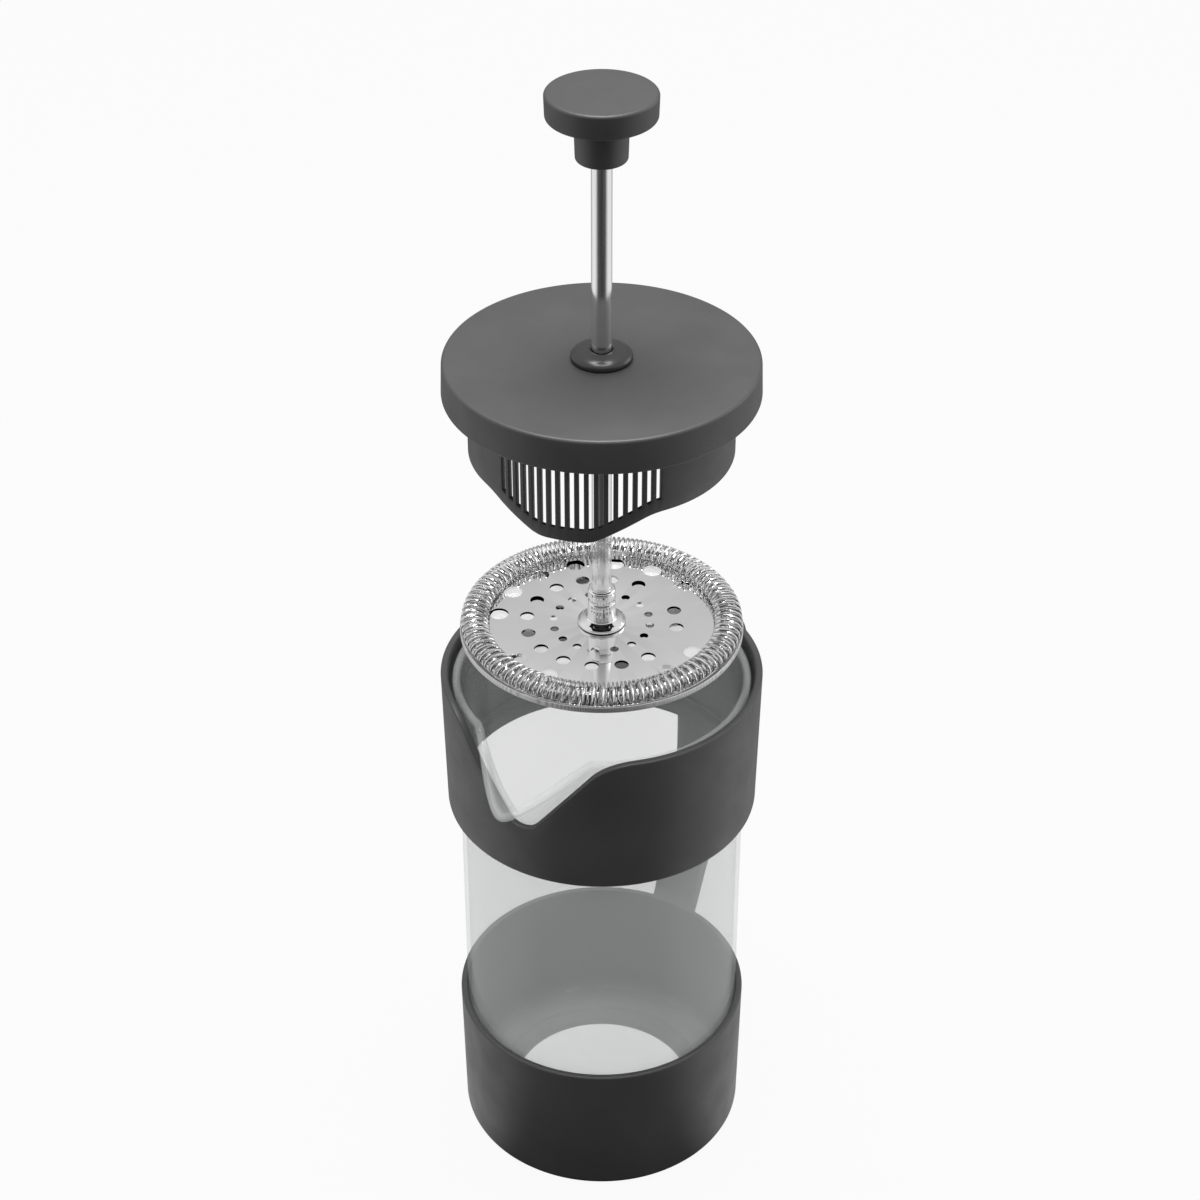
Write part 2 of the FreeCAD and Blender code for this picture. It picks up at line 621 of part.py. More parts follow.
# ---------------------------------------------------------------- plunger
def knob():
    neck = KNOB_TOP_Z - KNOB_H
    body = revolve([
        (0, KNOB_LOW_Z), (KNOB_STEM_R_LOW, KNOB_LOW_Z), (KNOB_STEM_R_TOP, neck - 2.5),
        (KNOB_STEM_R_TOP + 0.6, neck - 1.0), (KNOB_STEM_R_TOP + 2.2, neck),
        (KNOB_R - KNOB_DRAFT, neck), (KNOB_R, KNOB_TOP_Z), (0, KNOB_TOP_Z),
    ])
    body = body.makeFillet(KNOB_EDGE_R, edges_at(body, KNOB_TOP_Z, KNOB_R))
    return body.cut(cylinder(INSERT_R, KNOB_LOW_Z - OVER, KNOB_LOW_Z + INSERT_H + OVER))


def knob_insert():
    return tube(INSERT_R - SLIP, ROD_R + SLIP, KNOB_LOW_Z, KNOB_LOW_Z + INSERT_H)


def plunger_rod():
    rod = cylinder(ROD_R, THICK_LOW_Z, KNOB_LOW_Z + INSERT_H)
    end = cylinder(THREAD_R, ROD_LOW_Z, THICK_LOW_Z)
    end = end.makeChamfer(0.5, edges_at(end, ROD_LOW_Z, THREAD_R))
    return rod.fuse(end)


def rod_ferrule():
    """Bright collar on the rod that presses on the perforated plate."""
    low = SHOULDER_Z
    high = low + FERRULE_H
    shell = revolve([
        (0, low), (FERRULE_FLANGE_R, low), (FERRULE_FLANGE_R, low + FERRULE_FLANGE_H * 0.6),
        (FERRULE_FLANGE_R - 1.0, low + FERRULE_FLANGE_H), (FERRULE_R + 0.8, low + FERRULE_FLANGE_H + 0.4),
        (FERRULE_R, low + FERRULE_FLANGE_H + 1.4), (FERRULE_R, high - 1.0),
        (FERRULE_R - 0.9, high), (0, high),
    ])
    bore = cylinder(ROD_R + SLIP, THICK_LOW_Z, high + OVER)
    return shell.cut(bore).cut(cylinder(THREAD_R + SLIP, low - OVER, THICK_LOW_Z + OVER))


# ---------------------------------------------------------------- filter stack
def filter_plate():
    """Perforated plate with a stepped rim that carries the coil."""
    edge = COIL_R + COIL_BAND * PLATE_EDGE_SHARE
    slant = PLATE_FLAT_R + PLATE_SLANT
    plate = revolve([
        (STACK_BORE_R, PLATE_LOW_Z), (PLATE_FLAT_R - 0.4, PLATE_LOW_Z),
        (slant - 0.6, SEAT_Z - PLATE_THICK), (edge, SEAT_Z - PLATE_THICK), (edge, SEAT_Z),
        (slant, SEAT_Z), (PLATE_FLAT_R, PLATE_Z), (STACK_BORE_R, PLATE_Z),
    ])
    for i in range(SPOKES):
        angle = math.radians(i * 360.0 / SPOKES)
        for inset, radius in SPOKE_HOLES:
            place = PLATE_FLAT_R - inset
            x = place * math.cos(angle)
            y = place * math.sin(angle)
            plate = plate.cut(cylinder(radius, PLATE_LOW_Z - OVER, PLATE_Z + OVER, x, y))
    return plate


def filter_coil():
    """Outer shape of the coil spring that runs round the plate."""
    return Part.makeTorus(COIL_R, COIL_BAND, Vector(0, 0, COIL_Z), UP)


def mesh_screen():
    wall = FILTER_R - SCREEN_THICK
    return revolve([
        (STACK_BORE_R, SCREEN_LOW_Z), (wall, SCREEN_LOW_Z), (FILTER_R, SCREEN_LOW_Z + SCREEN_THICK),
        (FILTER_R, SCREEN_LOW_Z + SCREEN_EDGE_H), (wall, SCREEN_LOW_Z + SCREEN_EDGE_H),
        (wall, SCREEN_TOP_Z), (STACK_BORE_R, SCREEN_TOP_Z),
    ])


def cross_plate():
    plate = tube(CROSS_R, CROSS_R - CROSS_RING_W, CROSS_LOW_Z, CROSS_TOP_Z)
    plate = plate.fuse(cylinder(2 * HUB_R, CROSS_LOW_Z, CROSS_TOP_Z))
    reach = CROSS_R - CROSS_RING_W / 2
    for i in range(CROSS_ARMS):
        arm = Part.makeBox(reach, CROSS_ARM_W, CROSS_THICK,
                           Vector(0, -CROSS_ARM_W / 2, CROSS_LOW_Z))
        plate = plate.fuse(turned(arm, i * 360.0 / CROSS_ARMS))
    return plate.removeSplitter().cut(cylinder(HUB_R - HUB_RIVET, CROSS_LOW_Z - OVER, CROSS_TOP_Z + OVER))


def cross_hub():
    """Threaded bush riveted into the cross plate."""
    bore = THREAD_R + THREAD_FIT
    body = revolve([
        (bore, HUB_LOW_Z), (HUB_R - 0.6, HUB_LOW_Z), (HUB_R, HUB_LOW_Z + 0.6),
        (HUB_R, CROSS_LOW_Z), (HUB_R - HUB_RIVET, CROSS_LOW_Z), (HUB_R - HUB_RIVET, CROSS_TOP_Z),
        (bore, CROSS_TOP_Z),
    ])
    return body


# ---------------------------------------------------------------- build
PIECES = (
    glass_beaker, collar, collar_seal, base_cup, base_cushion, foot_ring,
    handle_grip, handle_liner, handle_screws,
    lid_cap, lid_strainer, rod_bushing, bushing_nut,
    knob, knob_insert, plunger_rod, rod_ferrule,
    filter_plate, filter_coil, mesh_screen, cross_plate, cross_hub,
)

os.makedirs("parts", exist_ok=True)
for piece in PIECES:
    save(piece(), piece.__name__)
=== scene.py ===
"""Looks of a french press: glass, moulded plastic, polished steel and wire, built round its frame.

Sizes are in millimetres and become metres when a mesh is made.  The beaker's axis is Z, the
spout points along -X and the handle along +X.
"""

import json
import logging
import math
from dataclasses import dataclass
from enum import Enum

import bmesh
import bpy
import numpy as np
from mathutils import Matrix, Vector

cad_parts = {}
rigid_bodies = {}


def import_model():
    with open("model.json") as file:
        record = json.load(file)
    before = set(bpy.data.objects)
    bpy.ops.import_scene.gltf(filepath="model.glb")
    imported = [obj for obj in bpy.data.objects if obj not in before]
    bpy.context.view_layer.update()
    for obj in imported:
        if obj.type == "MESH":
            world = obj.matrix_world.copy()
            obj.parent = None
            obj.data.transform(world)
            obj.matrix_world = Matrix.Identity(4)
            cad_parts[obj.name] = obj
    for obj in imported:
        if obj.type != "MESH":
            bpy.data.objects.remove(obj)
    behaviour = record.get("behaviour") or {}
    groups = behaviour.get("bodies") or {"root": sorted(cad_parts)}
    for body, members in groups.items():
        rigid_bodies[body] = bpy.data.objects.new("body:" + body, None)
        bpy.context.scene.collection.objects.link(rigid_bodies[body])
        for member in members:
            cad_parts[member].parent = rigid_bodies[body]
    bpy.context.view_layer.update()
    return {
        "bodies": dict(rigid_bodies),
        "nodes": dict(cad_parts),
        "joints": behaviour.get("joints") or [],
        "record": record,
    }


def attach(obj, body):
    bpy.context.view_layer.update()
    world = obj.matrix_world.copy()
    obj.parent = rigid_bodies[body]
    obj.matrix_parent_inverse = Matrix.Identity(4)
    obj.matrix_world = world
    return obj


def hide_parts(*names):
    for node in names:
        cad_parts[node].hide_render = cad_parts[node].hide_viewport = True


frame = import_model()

MM = 0.001
log = logging.getLogger("french_press")

Point = tuple[float, float]
Corner = tuple[float, float, float]
Faces = list[tuple[int, ...]]


class Body(Enum):
    """The moving groups of the press."""

    CARAFE = "carafe"
    GUIDE = "guide"
    LID = "lid"
    PLUNGER = "plunger"
    STACK = "filter_stack"
    CROSS = "cross"


# ------------------------------------------------------------------------------ outlines
def rounded(corners: list[Corner], closed: bool = True, steps: int = 6) -> list[Point]:
    """Turn corners into an outline whose corners are rounded by arcs.

    Args:
        corners: Each corner's radius from the axis, height and rounding.
        closed: Whether the last corner joins the first.
        steps: Segments in each arc.

    Returns:
        The outline's points in order.
    """
    line: list[Point] = []
    count = len(corners)
    for i, (r, z, rounding) in enumerate(corners):
        here = np.array((r, z))
        at_end = not closed and i in (0, count - 1)
        if rounding <= 0 or at_end:
            line.append((r, z))
            continue
        back = np.array(corners[i - 1][:2]) - here
        ahead = np.array(corners[(i + 1) % count][:2]) - here
        back = back / np.linalg.norm(back)
        ahead = ahead / np.linalg.norm(ahead)
        half = math.acos(float(np.clip(back @ ahead, -1, 1))) / 2
        middle = (back + ahead) / np.linalg.norm(back + ahead)
        centre = here + middle * rounding / math.sin(half)
        start = here + back * rounding / math.tan(half) - centre
        end = here + ahead * rounding / math.tan(half) - centre
        turn = math.atan2(start[0] * end[1] - start[1] * end[0], float(start @ end))
        for k in range(steps + 1):
            a = turn * k / steps
            x = start[0] * math.cos(a) - start[1] * math.sin(a)
            y = start[0] * math.sin(a) + start[1] * math.cos(a)
            line.append((float(centre[0] + x), float(centre[1] + y)))
    return line


def dense_round(count: int, crowd: float = 0.0) -> np.ndarray:
    """Angles round the axis, crowded together about the spout.

    Args:
        count: How many angles.
        crowd: 0 for even steps, towards 1 for more of them about -X.

    Returns:
        The angles, in radians.
    """
    even = -math.pi + 2 * math.pi * np.arange(count) / count
    return math.pi + even - crowd * np.sin(even)


def spout_angle(theta: np.ndarray) -> np.ndarray:
    """Angle away from the spout, from -pi to pi."""
    return theta % (2 * math.pi) - math.pi


# -------------------------------------------------------------------------------- meshes
SHARP = math.radians(38)


def linked(name: str, data: bpy.types.ID) -> bpy.types.Object:
    """A new object in the scene."""
    obj = bpy.data.objects.new(name, data)
    bpy.context.scene.collection.objects.link(obj)
    return obj


def as_object(name: str, verts: np.ndarray, faces: Faces) -> bpy.types.Object:
    """Make a closed mesh object from millimetre points, with outward normals.

    Args:
        name: The piece's name.
        verts: Points in millimetres.
        faces: Vertex numbers of each face.

    Returns:
        The new object at the origin.
    """
    mesh = bpy.data.meshes.new(name)
    mesh.from_pydata((np.asarray(verts) * MM).tolist(), [], faces)
    obj = linked(name, mesh)
    tidy(obj)
    return obj


def tidy(obj: bpy.types.Object, merge: float = 1e-6) -> None:
    """Merge doubles, point the faces outwards and shade smoothly between sharp edges."""
    bm = bmesh.new()
    bm.from_mesh(obj.data)
    bmesh.ops.remove_doubles(bm, verts=bm.verts, dist=merge)
    bmesh.ops.dissolve_degenerate(bm, edges=bm.edges, dist=merge)
    bmesh.ops.recalc_face_normals(bm, faces=bm.faces)
    bm.to_mesh(obj.data)
    bm.free()
    obj.data.shade_smooth()
    obj.data.set_sharp_from_angle(angle=SHARP)


def ring_faces(columns: int, rows: int, loop: bool) -> Faces:
    """Quads between columns of points that go once round the axis.

    Args:
        columns: How many columns there are round the axis.
        rows: Points in each column.
        loop: Whether each column's last point joins its first.

    Returns:
        The quads, where point k of column i is vertex i * rows + k.
    """
    faces: Faces = []
    for i in range(columns):
        j = (i + 1) % columns
        for k in range(rows if loop else rows - 1):
            n = (k + 1) % rows
            faces.append((i * rows + k, j * rows + k, j * rows + n, i * rows + n))
    return faces


def lathe(name: str, outline: list[Point], segments: int = 192) -> bpy.types.Object:
    """Spin an outline round Z.

    Args:
        name: The piece's name.
        outline: Closed loop of (radius, height), or a line that starts and ends on the axis.
        segments: Steps round the axis.

    Returns:
        The turned piece.
    """
    line = np.array(outline)
    loop = not (line[0, 0] < 1e-9 and line[-1, 0] < 1e-9)
    theta = dense_round(segments)
    verts = np.empty((segments, len(line), 3))
    verts[..., 0] = np.outer(np.cos(theta), line[:, 0])
    verts[..., 1] = np.outer(np.sin(theta), line[:, 0])
    verts[..., 2] = line[:, 1]
    return as_object(name, verts.reshape(-1, 3), ring_faces(segments, len(line), loop))


def turned_ring(name: str, inner: float, outer: float, low: float, high: float,
                edge: float = 0.3, segments: int = 160) -> bpy.types.Object:
    """A ring of rectangular section with rounded edges."""
    corners = [(inner, low, edge), (outer, low, edge), (outer, high, edge), (inner, high, edge)]
    return lathe(name, rounded(corners, steps=4), segments)


# ------------------------------------------------------------------------- node helpers
class Nodes:
    """A short way to build a node tree."""

    def __init__(self, tree: bpy.types.NodeTree) -> None:
        """Keep the tree that nodes are added to."""
        self.tree = tree

    def add(self, kind: str, **values: object) -> bpy.types.Node:
        """Add a node and set its attributes."""
        node = self.tree.nodes.new(kind)
        for key, value in values.items():
            setattr(node, key, value)
        return node

    def feed(self, socket: bpy.types.NodeSocket, value: object) -> None:
        """Link a socket into another, or set it to a plain value."""
        if isinstance(value, bpy.types.NodeSocket):
            self.tree.links.new(value, socket)
        else:
            socket.default_value = value

    def math(self, operation: str, *terms: object) -> bpy.types.NodeSocket:
        """Add one sum of plain numbers and sockets."""
        node = self.add("ShaderNodeMath", operation=operation)
        for socket, term in zip(node.inputs, terms):
            self.feed(socket, term)
        return node.outputs[0]

    def blend(self, share: object, low: object, high: object) -> bpy.types.NodeSocket:
        """Add a colour that goes from low to high."""
        node = self.add("ShaderNodeMix", data_type="RGBA")
        self.feed(node.inputs[0], share)
        self.feed(node.inputs[6], low)
        self.feed(node.inputs[7], high)
        return node.outputs[2]

    def remap(self, value: object, low: float, high: float,
              from_low: float = 0.0, from_high: float = 1.0) -> bpy.types.NodeSocket:
        """Add a linear change of range, clamped."""
        node = self.add("ShaderNodeMapRange")
        self.feed(node.inputs["Value"], value)
        node.inputs["From Min"].default_value = from_low
        node.inputs["From Max"].default_value = from_high
        node.inputs["To Min"].default_value = low
        node.inputs["To Max"].default_value = high
        return node.outputs["Result"]

    def combine(self, x: object, y: object, z: object) -> bpy.types.NodeSocket:
        """A vector of three parts."""
        node = self.add("ShaderNodeCombineXYZ")
        for socket, part in zip(node.inputs, (x, y, z)):
            self.feed(socket, part)
        return node.outputs[0]

    def length(self, vector: object) -> bpy.types.NodeSocket:
        """How long a vector is."""
        node = self.add("ShaderNodeVectorMath", operation="LENGTH")
        self.feed(node.inputs[0], vector)
        return node.outputs["Value"]


def grey(level: float) -> tuple[float, float, float, float]:
    """An opaque neutral colour."""
    return (level, level, level, 1.0)


# ------------------------------------------------------------------------------ finishes
class Surface(Nodes):
    """A material with one Principled shader and textures on object coordinates."""

    def __init__(self, name: str) -> None:
        """Start a material with an empty tree, a shader and an output."""
        self.material = bpy.data.materials.new(name)
        self.material.use_nodes = True
        super().__init__(self.material.node_tree)
        self.tree.nodes.clear()
        self.shader = self.add("ShaderNodeBsdfPrincipled")
        self.output = self.add("ShaderNodeOutputMaterial")
        self.feed(self.output.inputs["Surface"], self.shader.outputs[0])
        self.place = self.add("ShaderNodeTexCoord").outputs["Object"]

    def set(self, **values: object) -> None:
        """Set or link the shader's inputs, named with underscores for spaces."""
        for key, value in values.items():
            self.feed(self.shader.inputs[key.replace("_", " ")], value)

    def noise(self, per_metre: float, detail: float = 3.0,
              stretch: tuple[float, float, float] = (1, 1, 1)) -> bpy.types.NodeSocket:
        """Add cloudy noise, stretched along the axes."""
        mapping = self.add("ShaderNodeMapping")
        self.feed(mapping.inputs["Vector"], self.place)
        mapping.inputs["Scale"].default_value = stretch
        node = self.add("ShaderNodeTexNoise")
        self.feed(node.inputs["Vector"], mapping.outputs[0])
        node.inputs["Scale"].default_value = per_metre
        node.inputs["Detail"].default_value = detail
        return node.outputs["Fac"]

    def bump(self, height: object, depth: float, strength: float = 1.0) -> None:
        """Raise the surface by a height map of a real depth in metres."""
        node = self.add("ShaderNodeBump")
        self.feed(node.inputs["Height"], height)
        node.inputs["Distance"].default_value = depth
        node.inputs["Strength"].default_value = strength
        self.feed(self.shader.inputs["Normal"], node.outputs[0])


@dataclass(frozen=True)
class MouldedPlastic:
    """Spark-eroded plastic with a soft sheen and very slight handling marks."""

    name: str = "moulded_plastic"
    colour: float = 0.050
    spread: float = 0.006
    roughness: float = 0.46
    grain_per_metre: float = 2600.0
    grain_depth: float = 0.00004

    def material(self) -> bpy.types.Material:
        """Build the finish."""
        s = Surface(self.name)
        cloud = s.noise(26.0, 4.0)
        low = grey(self.colour - self.spread)
        s.set(Base_Color=s.blend(s.remap(cloud, 0, 1, 0.3, 0.7), low, grey(self.colour + self.spread)))
        s.set(Roughness=s.remap(s.noise(90.0, 5.0), self.roughness - 0.05, self.roughness + 0.06, 0.3, 0.7))
        s.set(IOR=1.52)
        s.bump(s.noise(self.grain_per_metre, 2.0), self.grain_depth, 0.55)
        return s.material


@dataclass(frozen=True)
class SoftRubber:
    """Silicone with a dry, dusty surface."""

    name: str = "soft_rubber"
    colour: float = 0.045

    def material(self) -> bpy.types.Material:
        """Build the finish."""
        s = Surface(self.name)
        dust = s.remap(s.noise(160.0, 6.0), 0, 1, 0.45, 0.75)
        s.set(Base_Color=s.blend(dust, grey(self.colour), grey(self.colour * 1.6)))
        s.set(Roughness=s.remap(dust, 0.62, 0.8), IOR=1.42)
        s.bump(s.noise(1200.0, 3.0), 0.00005, 0.5)
        return s.material


@dataclass(frozen=True)
class ClearGlass:
    """Blown borosilicate glass, slightly uneven, that lets lamps through."""

    name: str = "clear_glass"
    ior: float = 1.47
    ripple: float = 0.00012

    def material(self) -> bpy.types.Material:
        """Build the finish."""
        s = Surface(self.name)
        s.set(Base_Color=(0.955, 0.96, 0.958, 1.0), Roughness=0.0, IOR=self.ior)
        s.set(Transmission_Weight=1.0)
        s.bump(s.noise(34.0, 1.0, (1, 1, 0.35)), self.ripple, 0.35)
        clear = s.add("ShaderNodeBsdfTransparent")
        clear.inputs[0].default_value = grey(0.97)
        mix = s.add("ShaderNodeMixShader")
        s.feed(mix.inputs[0], s.add("ShaderNodeLightPath").outputs["Is Shadow Ray"])
        s.feed(mix.inputs[1], s.shader.outputs[0])
        s.feed(mix.inputs[2], clear.outputs[0])
        s.feed(s.output.inputs["Surface"], mix.outputs[0])
        return s.material


@dataclass(frozen=True)
class PolishedSteel:
    """Stainless steel, buffed, with fine drawing marks along one axis."""

    name: str
    colour: float = 0.80
    roughness: float = 0.07
    marks: tuple[float, float, float] = (1.0, 1.0, 0.02)
    marks_per_metre: float = 1800.0
    mark_depth: float = 0.000004
    stretch: float = 0.0

    def material(self) -> bpy.types.Material:
        """Build the finish."""
        s = Surface(self.name)
        lines = s.noise(self.marks_per_metre, 3.0, self.marks)
        cloud = s.noise(70.0, 3.0)
        s.set(Base_Color=s.blend(cloud, grey(self.colour - 0.03), grey(self.colour + 0.03)), Metallic=1.0)
        s.set(Roughness=s.remap(lines, self.roughness * 0.7, self.roughness * 1.5, 0.3, 0.7))
        s.bump(lines, self.mark_depth, 0.4)
        if self.stretch > 0:
            round_axis = s.add("ShaderNodeTangent", direction_type="RADIAL", axis="Z")
            s.set(Anisotropic=self.stretch, Tangent=round_axis.outputs[0], Anisotropic_Rotation=0.0)
        return s.material


@dataclass(frozen=True)
class WovenWire:
    """Fine plain-weave wire cloth with a painted glow for daylight coming up through it, and painted shadow
    over the cross plate's arms and near its rim.
    """

    name: str = "woven_wire"
    wires_per_metre: float = 3200.0
    # Strength of the painted glow that stands in for light coming up through the cloth.
    painted_glow_strength: float = 0.5
    arm_half: float = 0.0055
    open_radius: float = 0.039
    blur: float = 0.0004

    def material(self) -> bpy.types.Material:
        """Build the finish."""
        s = Surface(self.name)
        split = s.add("ShaderNodeSeparateXYZ")
        s.feed(split.inputs[0], s.place)
        turns = self.wires_per_metre * math.pi
        warp = s.math("SINE", s.math("MULTIPLY", split.outputs[0], turns))
        weft = s.math("SINE", s.math("MULTIPLY", split.outputs[1], turns))
        weave = s.math("ABSOLUTE", s.math("MULTIPLY", warp, weft))
        s.set(Base_Color=s.blend(weave, grey(0.45), grey(0.85)), Metallic=1.0)
        s.set(Roughness=s.remap(weave, 0.5, 0.28))
        s.bump(weave, 0.00008, 0.8)
        # Painted light: an emission glow where light would come up through the cloth, and painted shadow
        # (near black) over the cross plate's arms and outside the open middle.
        x, y = split.outputs[0], split.outputs[1]
        one = s.math("ABSOLUTE", s.math("SUBTRACT", x, y))
        other = s.math("ABSOLUTE", s.math("ADD", x, y))
        off_arm = s.math("DIVIDE", s.math("MINIMUM", one, other), math.sqrt(2))
        clear_of_arm = s.remap(off_arm, 0.0, 1.0, self.arm_half - self.blur, self.arm_half + self.blur)
        inside = s.remap(s.length(s.combine(x, y, 0.0)), 1.0, 0.0, self.open_radius - 0.0005,
                         self.open_radius + 0.0005)
        painted_glow_mask = s.math("MULTIPLY", clear_of_arm, inside)
        s.set(Emission_Color=s.blend(painted_glow_mask, grey(0.03), grey(1.0)), Emission_Strength=self.painted_glow_strength)
        return s.material


@dataclass(frozen=True)
class TurnedBrass:
    """Brass with turning marks round the axis."""

    name: str = "turned_brass"

    def material(self) -> bpy.types.Material:
        """Build the finish."""
        s = Surface(self.name)
        rings = s.noise(2400.0, 2.0, (0.02, 0.02, 1.0))
        s.set(Base_Color=s.blend(rings, (0.62, 0.44, 0.18, 1), (0.78, 0.60, 0.30, 1)), Metallic=1.0)
        s.set(Roughness=s.remap(rings, 0.2, 0.34))
        s.bump(rings, 0.00002, 0.5)
        return s.material


class Finish(Enum):
    """Every finish on the press, each with its slot in the record."""

    PLASTIC = ("dark_plastic", MouldedPlastic())
    BUSHING = ("bushing_plastic", MouldedPlastic("bushing_plastic", 0.026, 0.004, 0.52))
    RUBBER = ("silicone", SoftRubber())
    GLASS = ("clear_glass", ClearGlass())
    ROD = ("polished_steel", PolishedSteel("drawn_rod", 0.86, 0.16, stretch=0.9))
    PRESSED = ("polished_steel", PolishedSteel("pressed_sheet", 0.82, 0.05, (1.0, 0.05, 1.0), 900.0))
    SPRING = ("spring_steel", PolishedSteel("spring_wire", 0.78, 0.16, (1.0, 1.0, 1.0), 3000.0))
    CLOTH = ("woven_steel", WovenWire())
    SCREW = ("screw_steel", PolishedSteel("plated_screw", 0.55, 0.30, (1.0, 1.0, 1.0), 1500.0))
    BRASS = ("insert_brass", TurnedBrass())

    def made(self) -> bpy.types.Material:
        """The finish's material, built on first use."""
        look = self.value[1]
        return bpy.data.materials.get(look.name) or look.material()


def dress(obj: bpy.types.Object, finish: Finish, body: Body, *nodes: str) -> bpy.types.Object:
    """Give a finished piece its material and body, and hide the CAD nodes that it stands for.

    Args:
        obj: The piece, in place.
        finish: What it is made of.
        body: What it moves with.
        nodes: The CAD nodes that it replaces.

    Returns:
        The piece.
    """
    obj.data.materials.clear()
    obj.data.materials.append(finish.made())
    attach(obj, body.value)
    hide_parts(*nodes)
    log.info("%s: %d faces on %s", obj.name, len(obj.data.polygons), body.value)
    return obj


# ------------------------------------------------------------------------ geometry nodes
class Maker(Nodes):
    """A Geometry Nodes tree with named inputs, baked to a plain mesh."""

    def __init__(self, name: str, **inputs: float | int) -> None:
        """Start a tree whose inputs are the given names and values.

        Args:
            name: The tree's name.
            inputs: A size or a count for each named input.
        """
        super().__init__(bpy.data.node_groups.new(name, "GeometryNodeTree"))
        face = self.tree.interface
        face.new_socket("Geometry", in_out="INPUT", socket_type="NodeSocketGeometry")
        face.new_socket("Geometry", in_out="OUTPUT", socket_type="NodeSocketGeometry")
        self.values: dict[str, float | int] = {}
        for key, value in inputs.items():
            kind = "NodeSocketInt" if isinstance(value, int) else "NodeSocketFloat"
            socket = face.new_socket(key, in_out="INPUT", socket_type=kind)
            self.values[socket.identifier] = value
        self.start = self.add("NodeGroupInput")

    def size(self, name: str) -> bpy.types.NodeSocket:
        """One named input."""
        return self.start.outputs[name]

    def moved(self, shape: object, place: object = (0.0, 0.0, 0.0),
              turn: Corner = (0.0, 0.0, 0.0)) -> bpy.types.NodeSocket:
        """Turn a shape, then shift it."""
        node = self.add("GeometryNodeTransform")
        self.feed(node.inputs["Geometry"], shape)
        self.feed(node.inputs["Translation"], place)
        self.feed(node.inputs["Rotation"], turn)
        return node.outputs["Geometry"]

    def drum(self, radius: object, depth: object, sides: int) -> bpy.types.NodeSocket:
        """A closed cylinder along Z."""
        node = self.add("GeometryNodeMeshCylinder")
        self.feed(node.inputs["Vertices"], sides)
        self.feed(node.inputs["Radius"], radius)
        self.feed(node.inputs["Depth"], depth)
        return node.outputs["Mesh"]

    def bar(self, size: object) -> bpy.types.NodeSocket:
        """A block about its middle."""
        node = self.add("GeometryNodeMeshCube")
        self.feed(node.inputs["Size"], size)
        return node.outputs["Mesh"]

    def joined(self, shapes: list[bpy.types.NodeSocket]) -> bpy.types.NodeSocket:
        """Several shapes as one."""
        node = self.add("GeometryNodeJoinGeometry")
        for shape in shapes:
            self.feed(node.inputs[0], shape)
        return node.outputs["Geometry"]

    def fused(self, operation: str, base: bpy.types.NodeSocket | None,
              others: list[bpy.types.NodeSocket]) -> bpy.types.NodeSocket:
        """Cut the others from a base, or unite them where there is no base."""
        node = self.add("GeometryNodeMeshBoolean", operation=operation)
        if base is not None:
            self.feed(node.inputs["Mesh 1"], base)
        for shape in others:
            self.feed(node.inputs["Mesh 2"], shape)
        return node.outputs["Mesh"]

    def line(self, count: object) -> bpy.types.NodeSocket:
        """A curve with a number of points, which are placed afterwards."""
        points = self.add("GeometryNodeMeshLine")
        self.feed(points.inputs["Count"], count)
        curve = self.add("GeometryNodeMeshToCurve")
        self.feed(curve.inputs["Mesh"], points.outputs["Mesh"])
        return curve.outputs["Curve"]

    def around(self, angle: object, radius: object, height: object) -> bpy.types.NodeSocket:
        """A place round the axis."""
        return self.combine(self.math("MULTIPLY", self.math("COSINE", angle), radius),
                            self.math("MULTIPLY", self.math("SINE", angle), radius), height)

    def wire(self, curve: object, places: object, radius: object, sides: int,
             caps: bool = False) -> bpy.types.NodeSocket:
        """A wire swept along a curve whose points are put in their places."""
        put = self.add("GeometryNodeSetPosition")
        self.feed(put.inputs["Geometry"], curve)
        self.feed(put.inputs["Position"], places)
        section = self.add("GeometryNodeCurvePrimitiveCircle")
        self.feed(section.inputs["Resolution"], sides)
        self.feed(section.inputs["Radius"], radius)
        swept = self.add("GeometryNodeCurveToMesh")
        self.feed(swept.inputs["Curve"], put.outputs["Geometry"])
        self.feed(swept.inputs["Profile Curve"], section.outputs["Curve"])
        self.feed(swept.inputs["Fill Caps"], caps)
        return swept.outputs["Mesh"]

    def finish(self, shape: bpy.types.NodeSocket, material: bpy.types.Material) -> None:
        """End the tree in Realize Instances and Set Material."""
        real = self.add("GeometryNodeRealizeInstances")
        paint = self.add("GeometryNodeSetMaterial")
        end = self.add("NodeGroupOutput")
        self.feed(real.inputs["Geometry"], shape)
        self.feed(paint.inputs["Geometry"], real.outputs["Geometry"])
        self.feed(paint.inputs["Material"], material)
        self.feed(end.inputs[0], paint.outputs["Geometry"])

    def bake(self, name: str, source: bpy.types.Object | None = None) -> bpy.types.Object:
        """Run the tree and keep its result as a plain mesh.

        Args:
            name: The piece's name.
            source: What the tree starts from, which is removed; nothing if it needs none.

        Returns:
            The new piece, with no modifier.
        """
        if source is None:
            source = linked(name + "_seed", bpy.data.meshes.new(name + "_seed"))
        modifier = source.modifiers.new("maker", "NODES")
        modifier.node_group = self.tree
        for identifier, value in self.values.items():
            modifier[identifier] = value
        graph = bpy.context.evaluated_depsgraph_get()
        mesh = bpy.data.meshes.new_from_object(source.evaluated_get(graph))
        bpy.data.objects.remove(source)
        obj = linked(name, mesh)
        tidy(obj, 1e-7)
        return obj


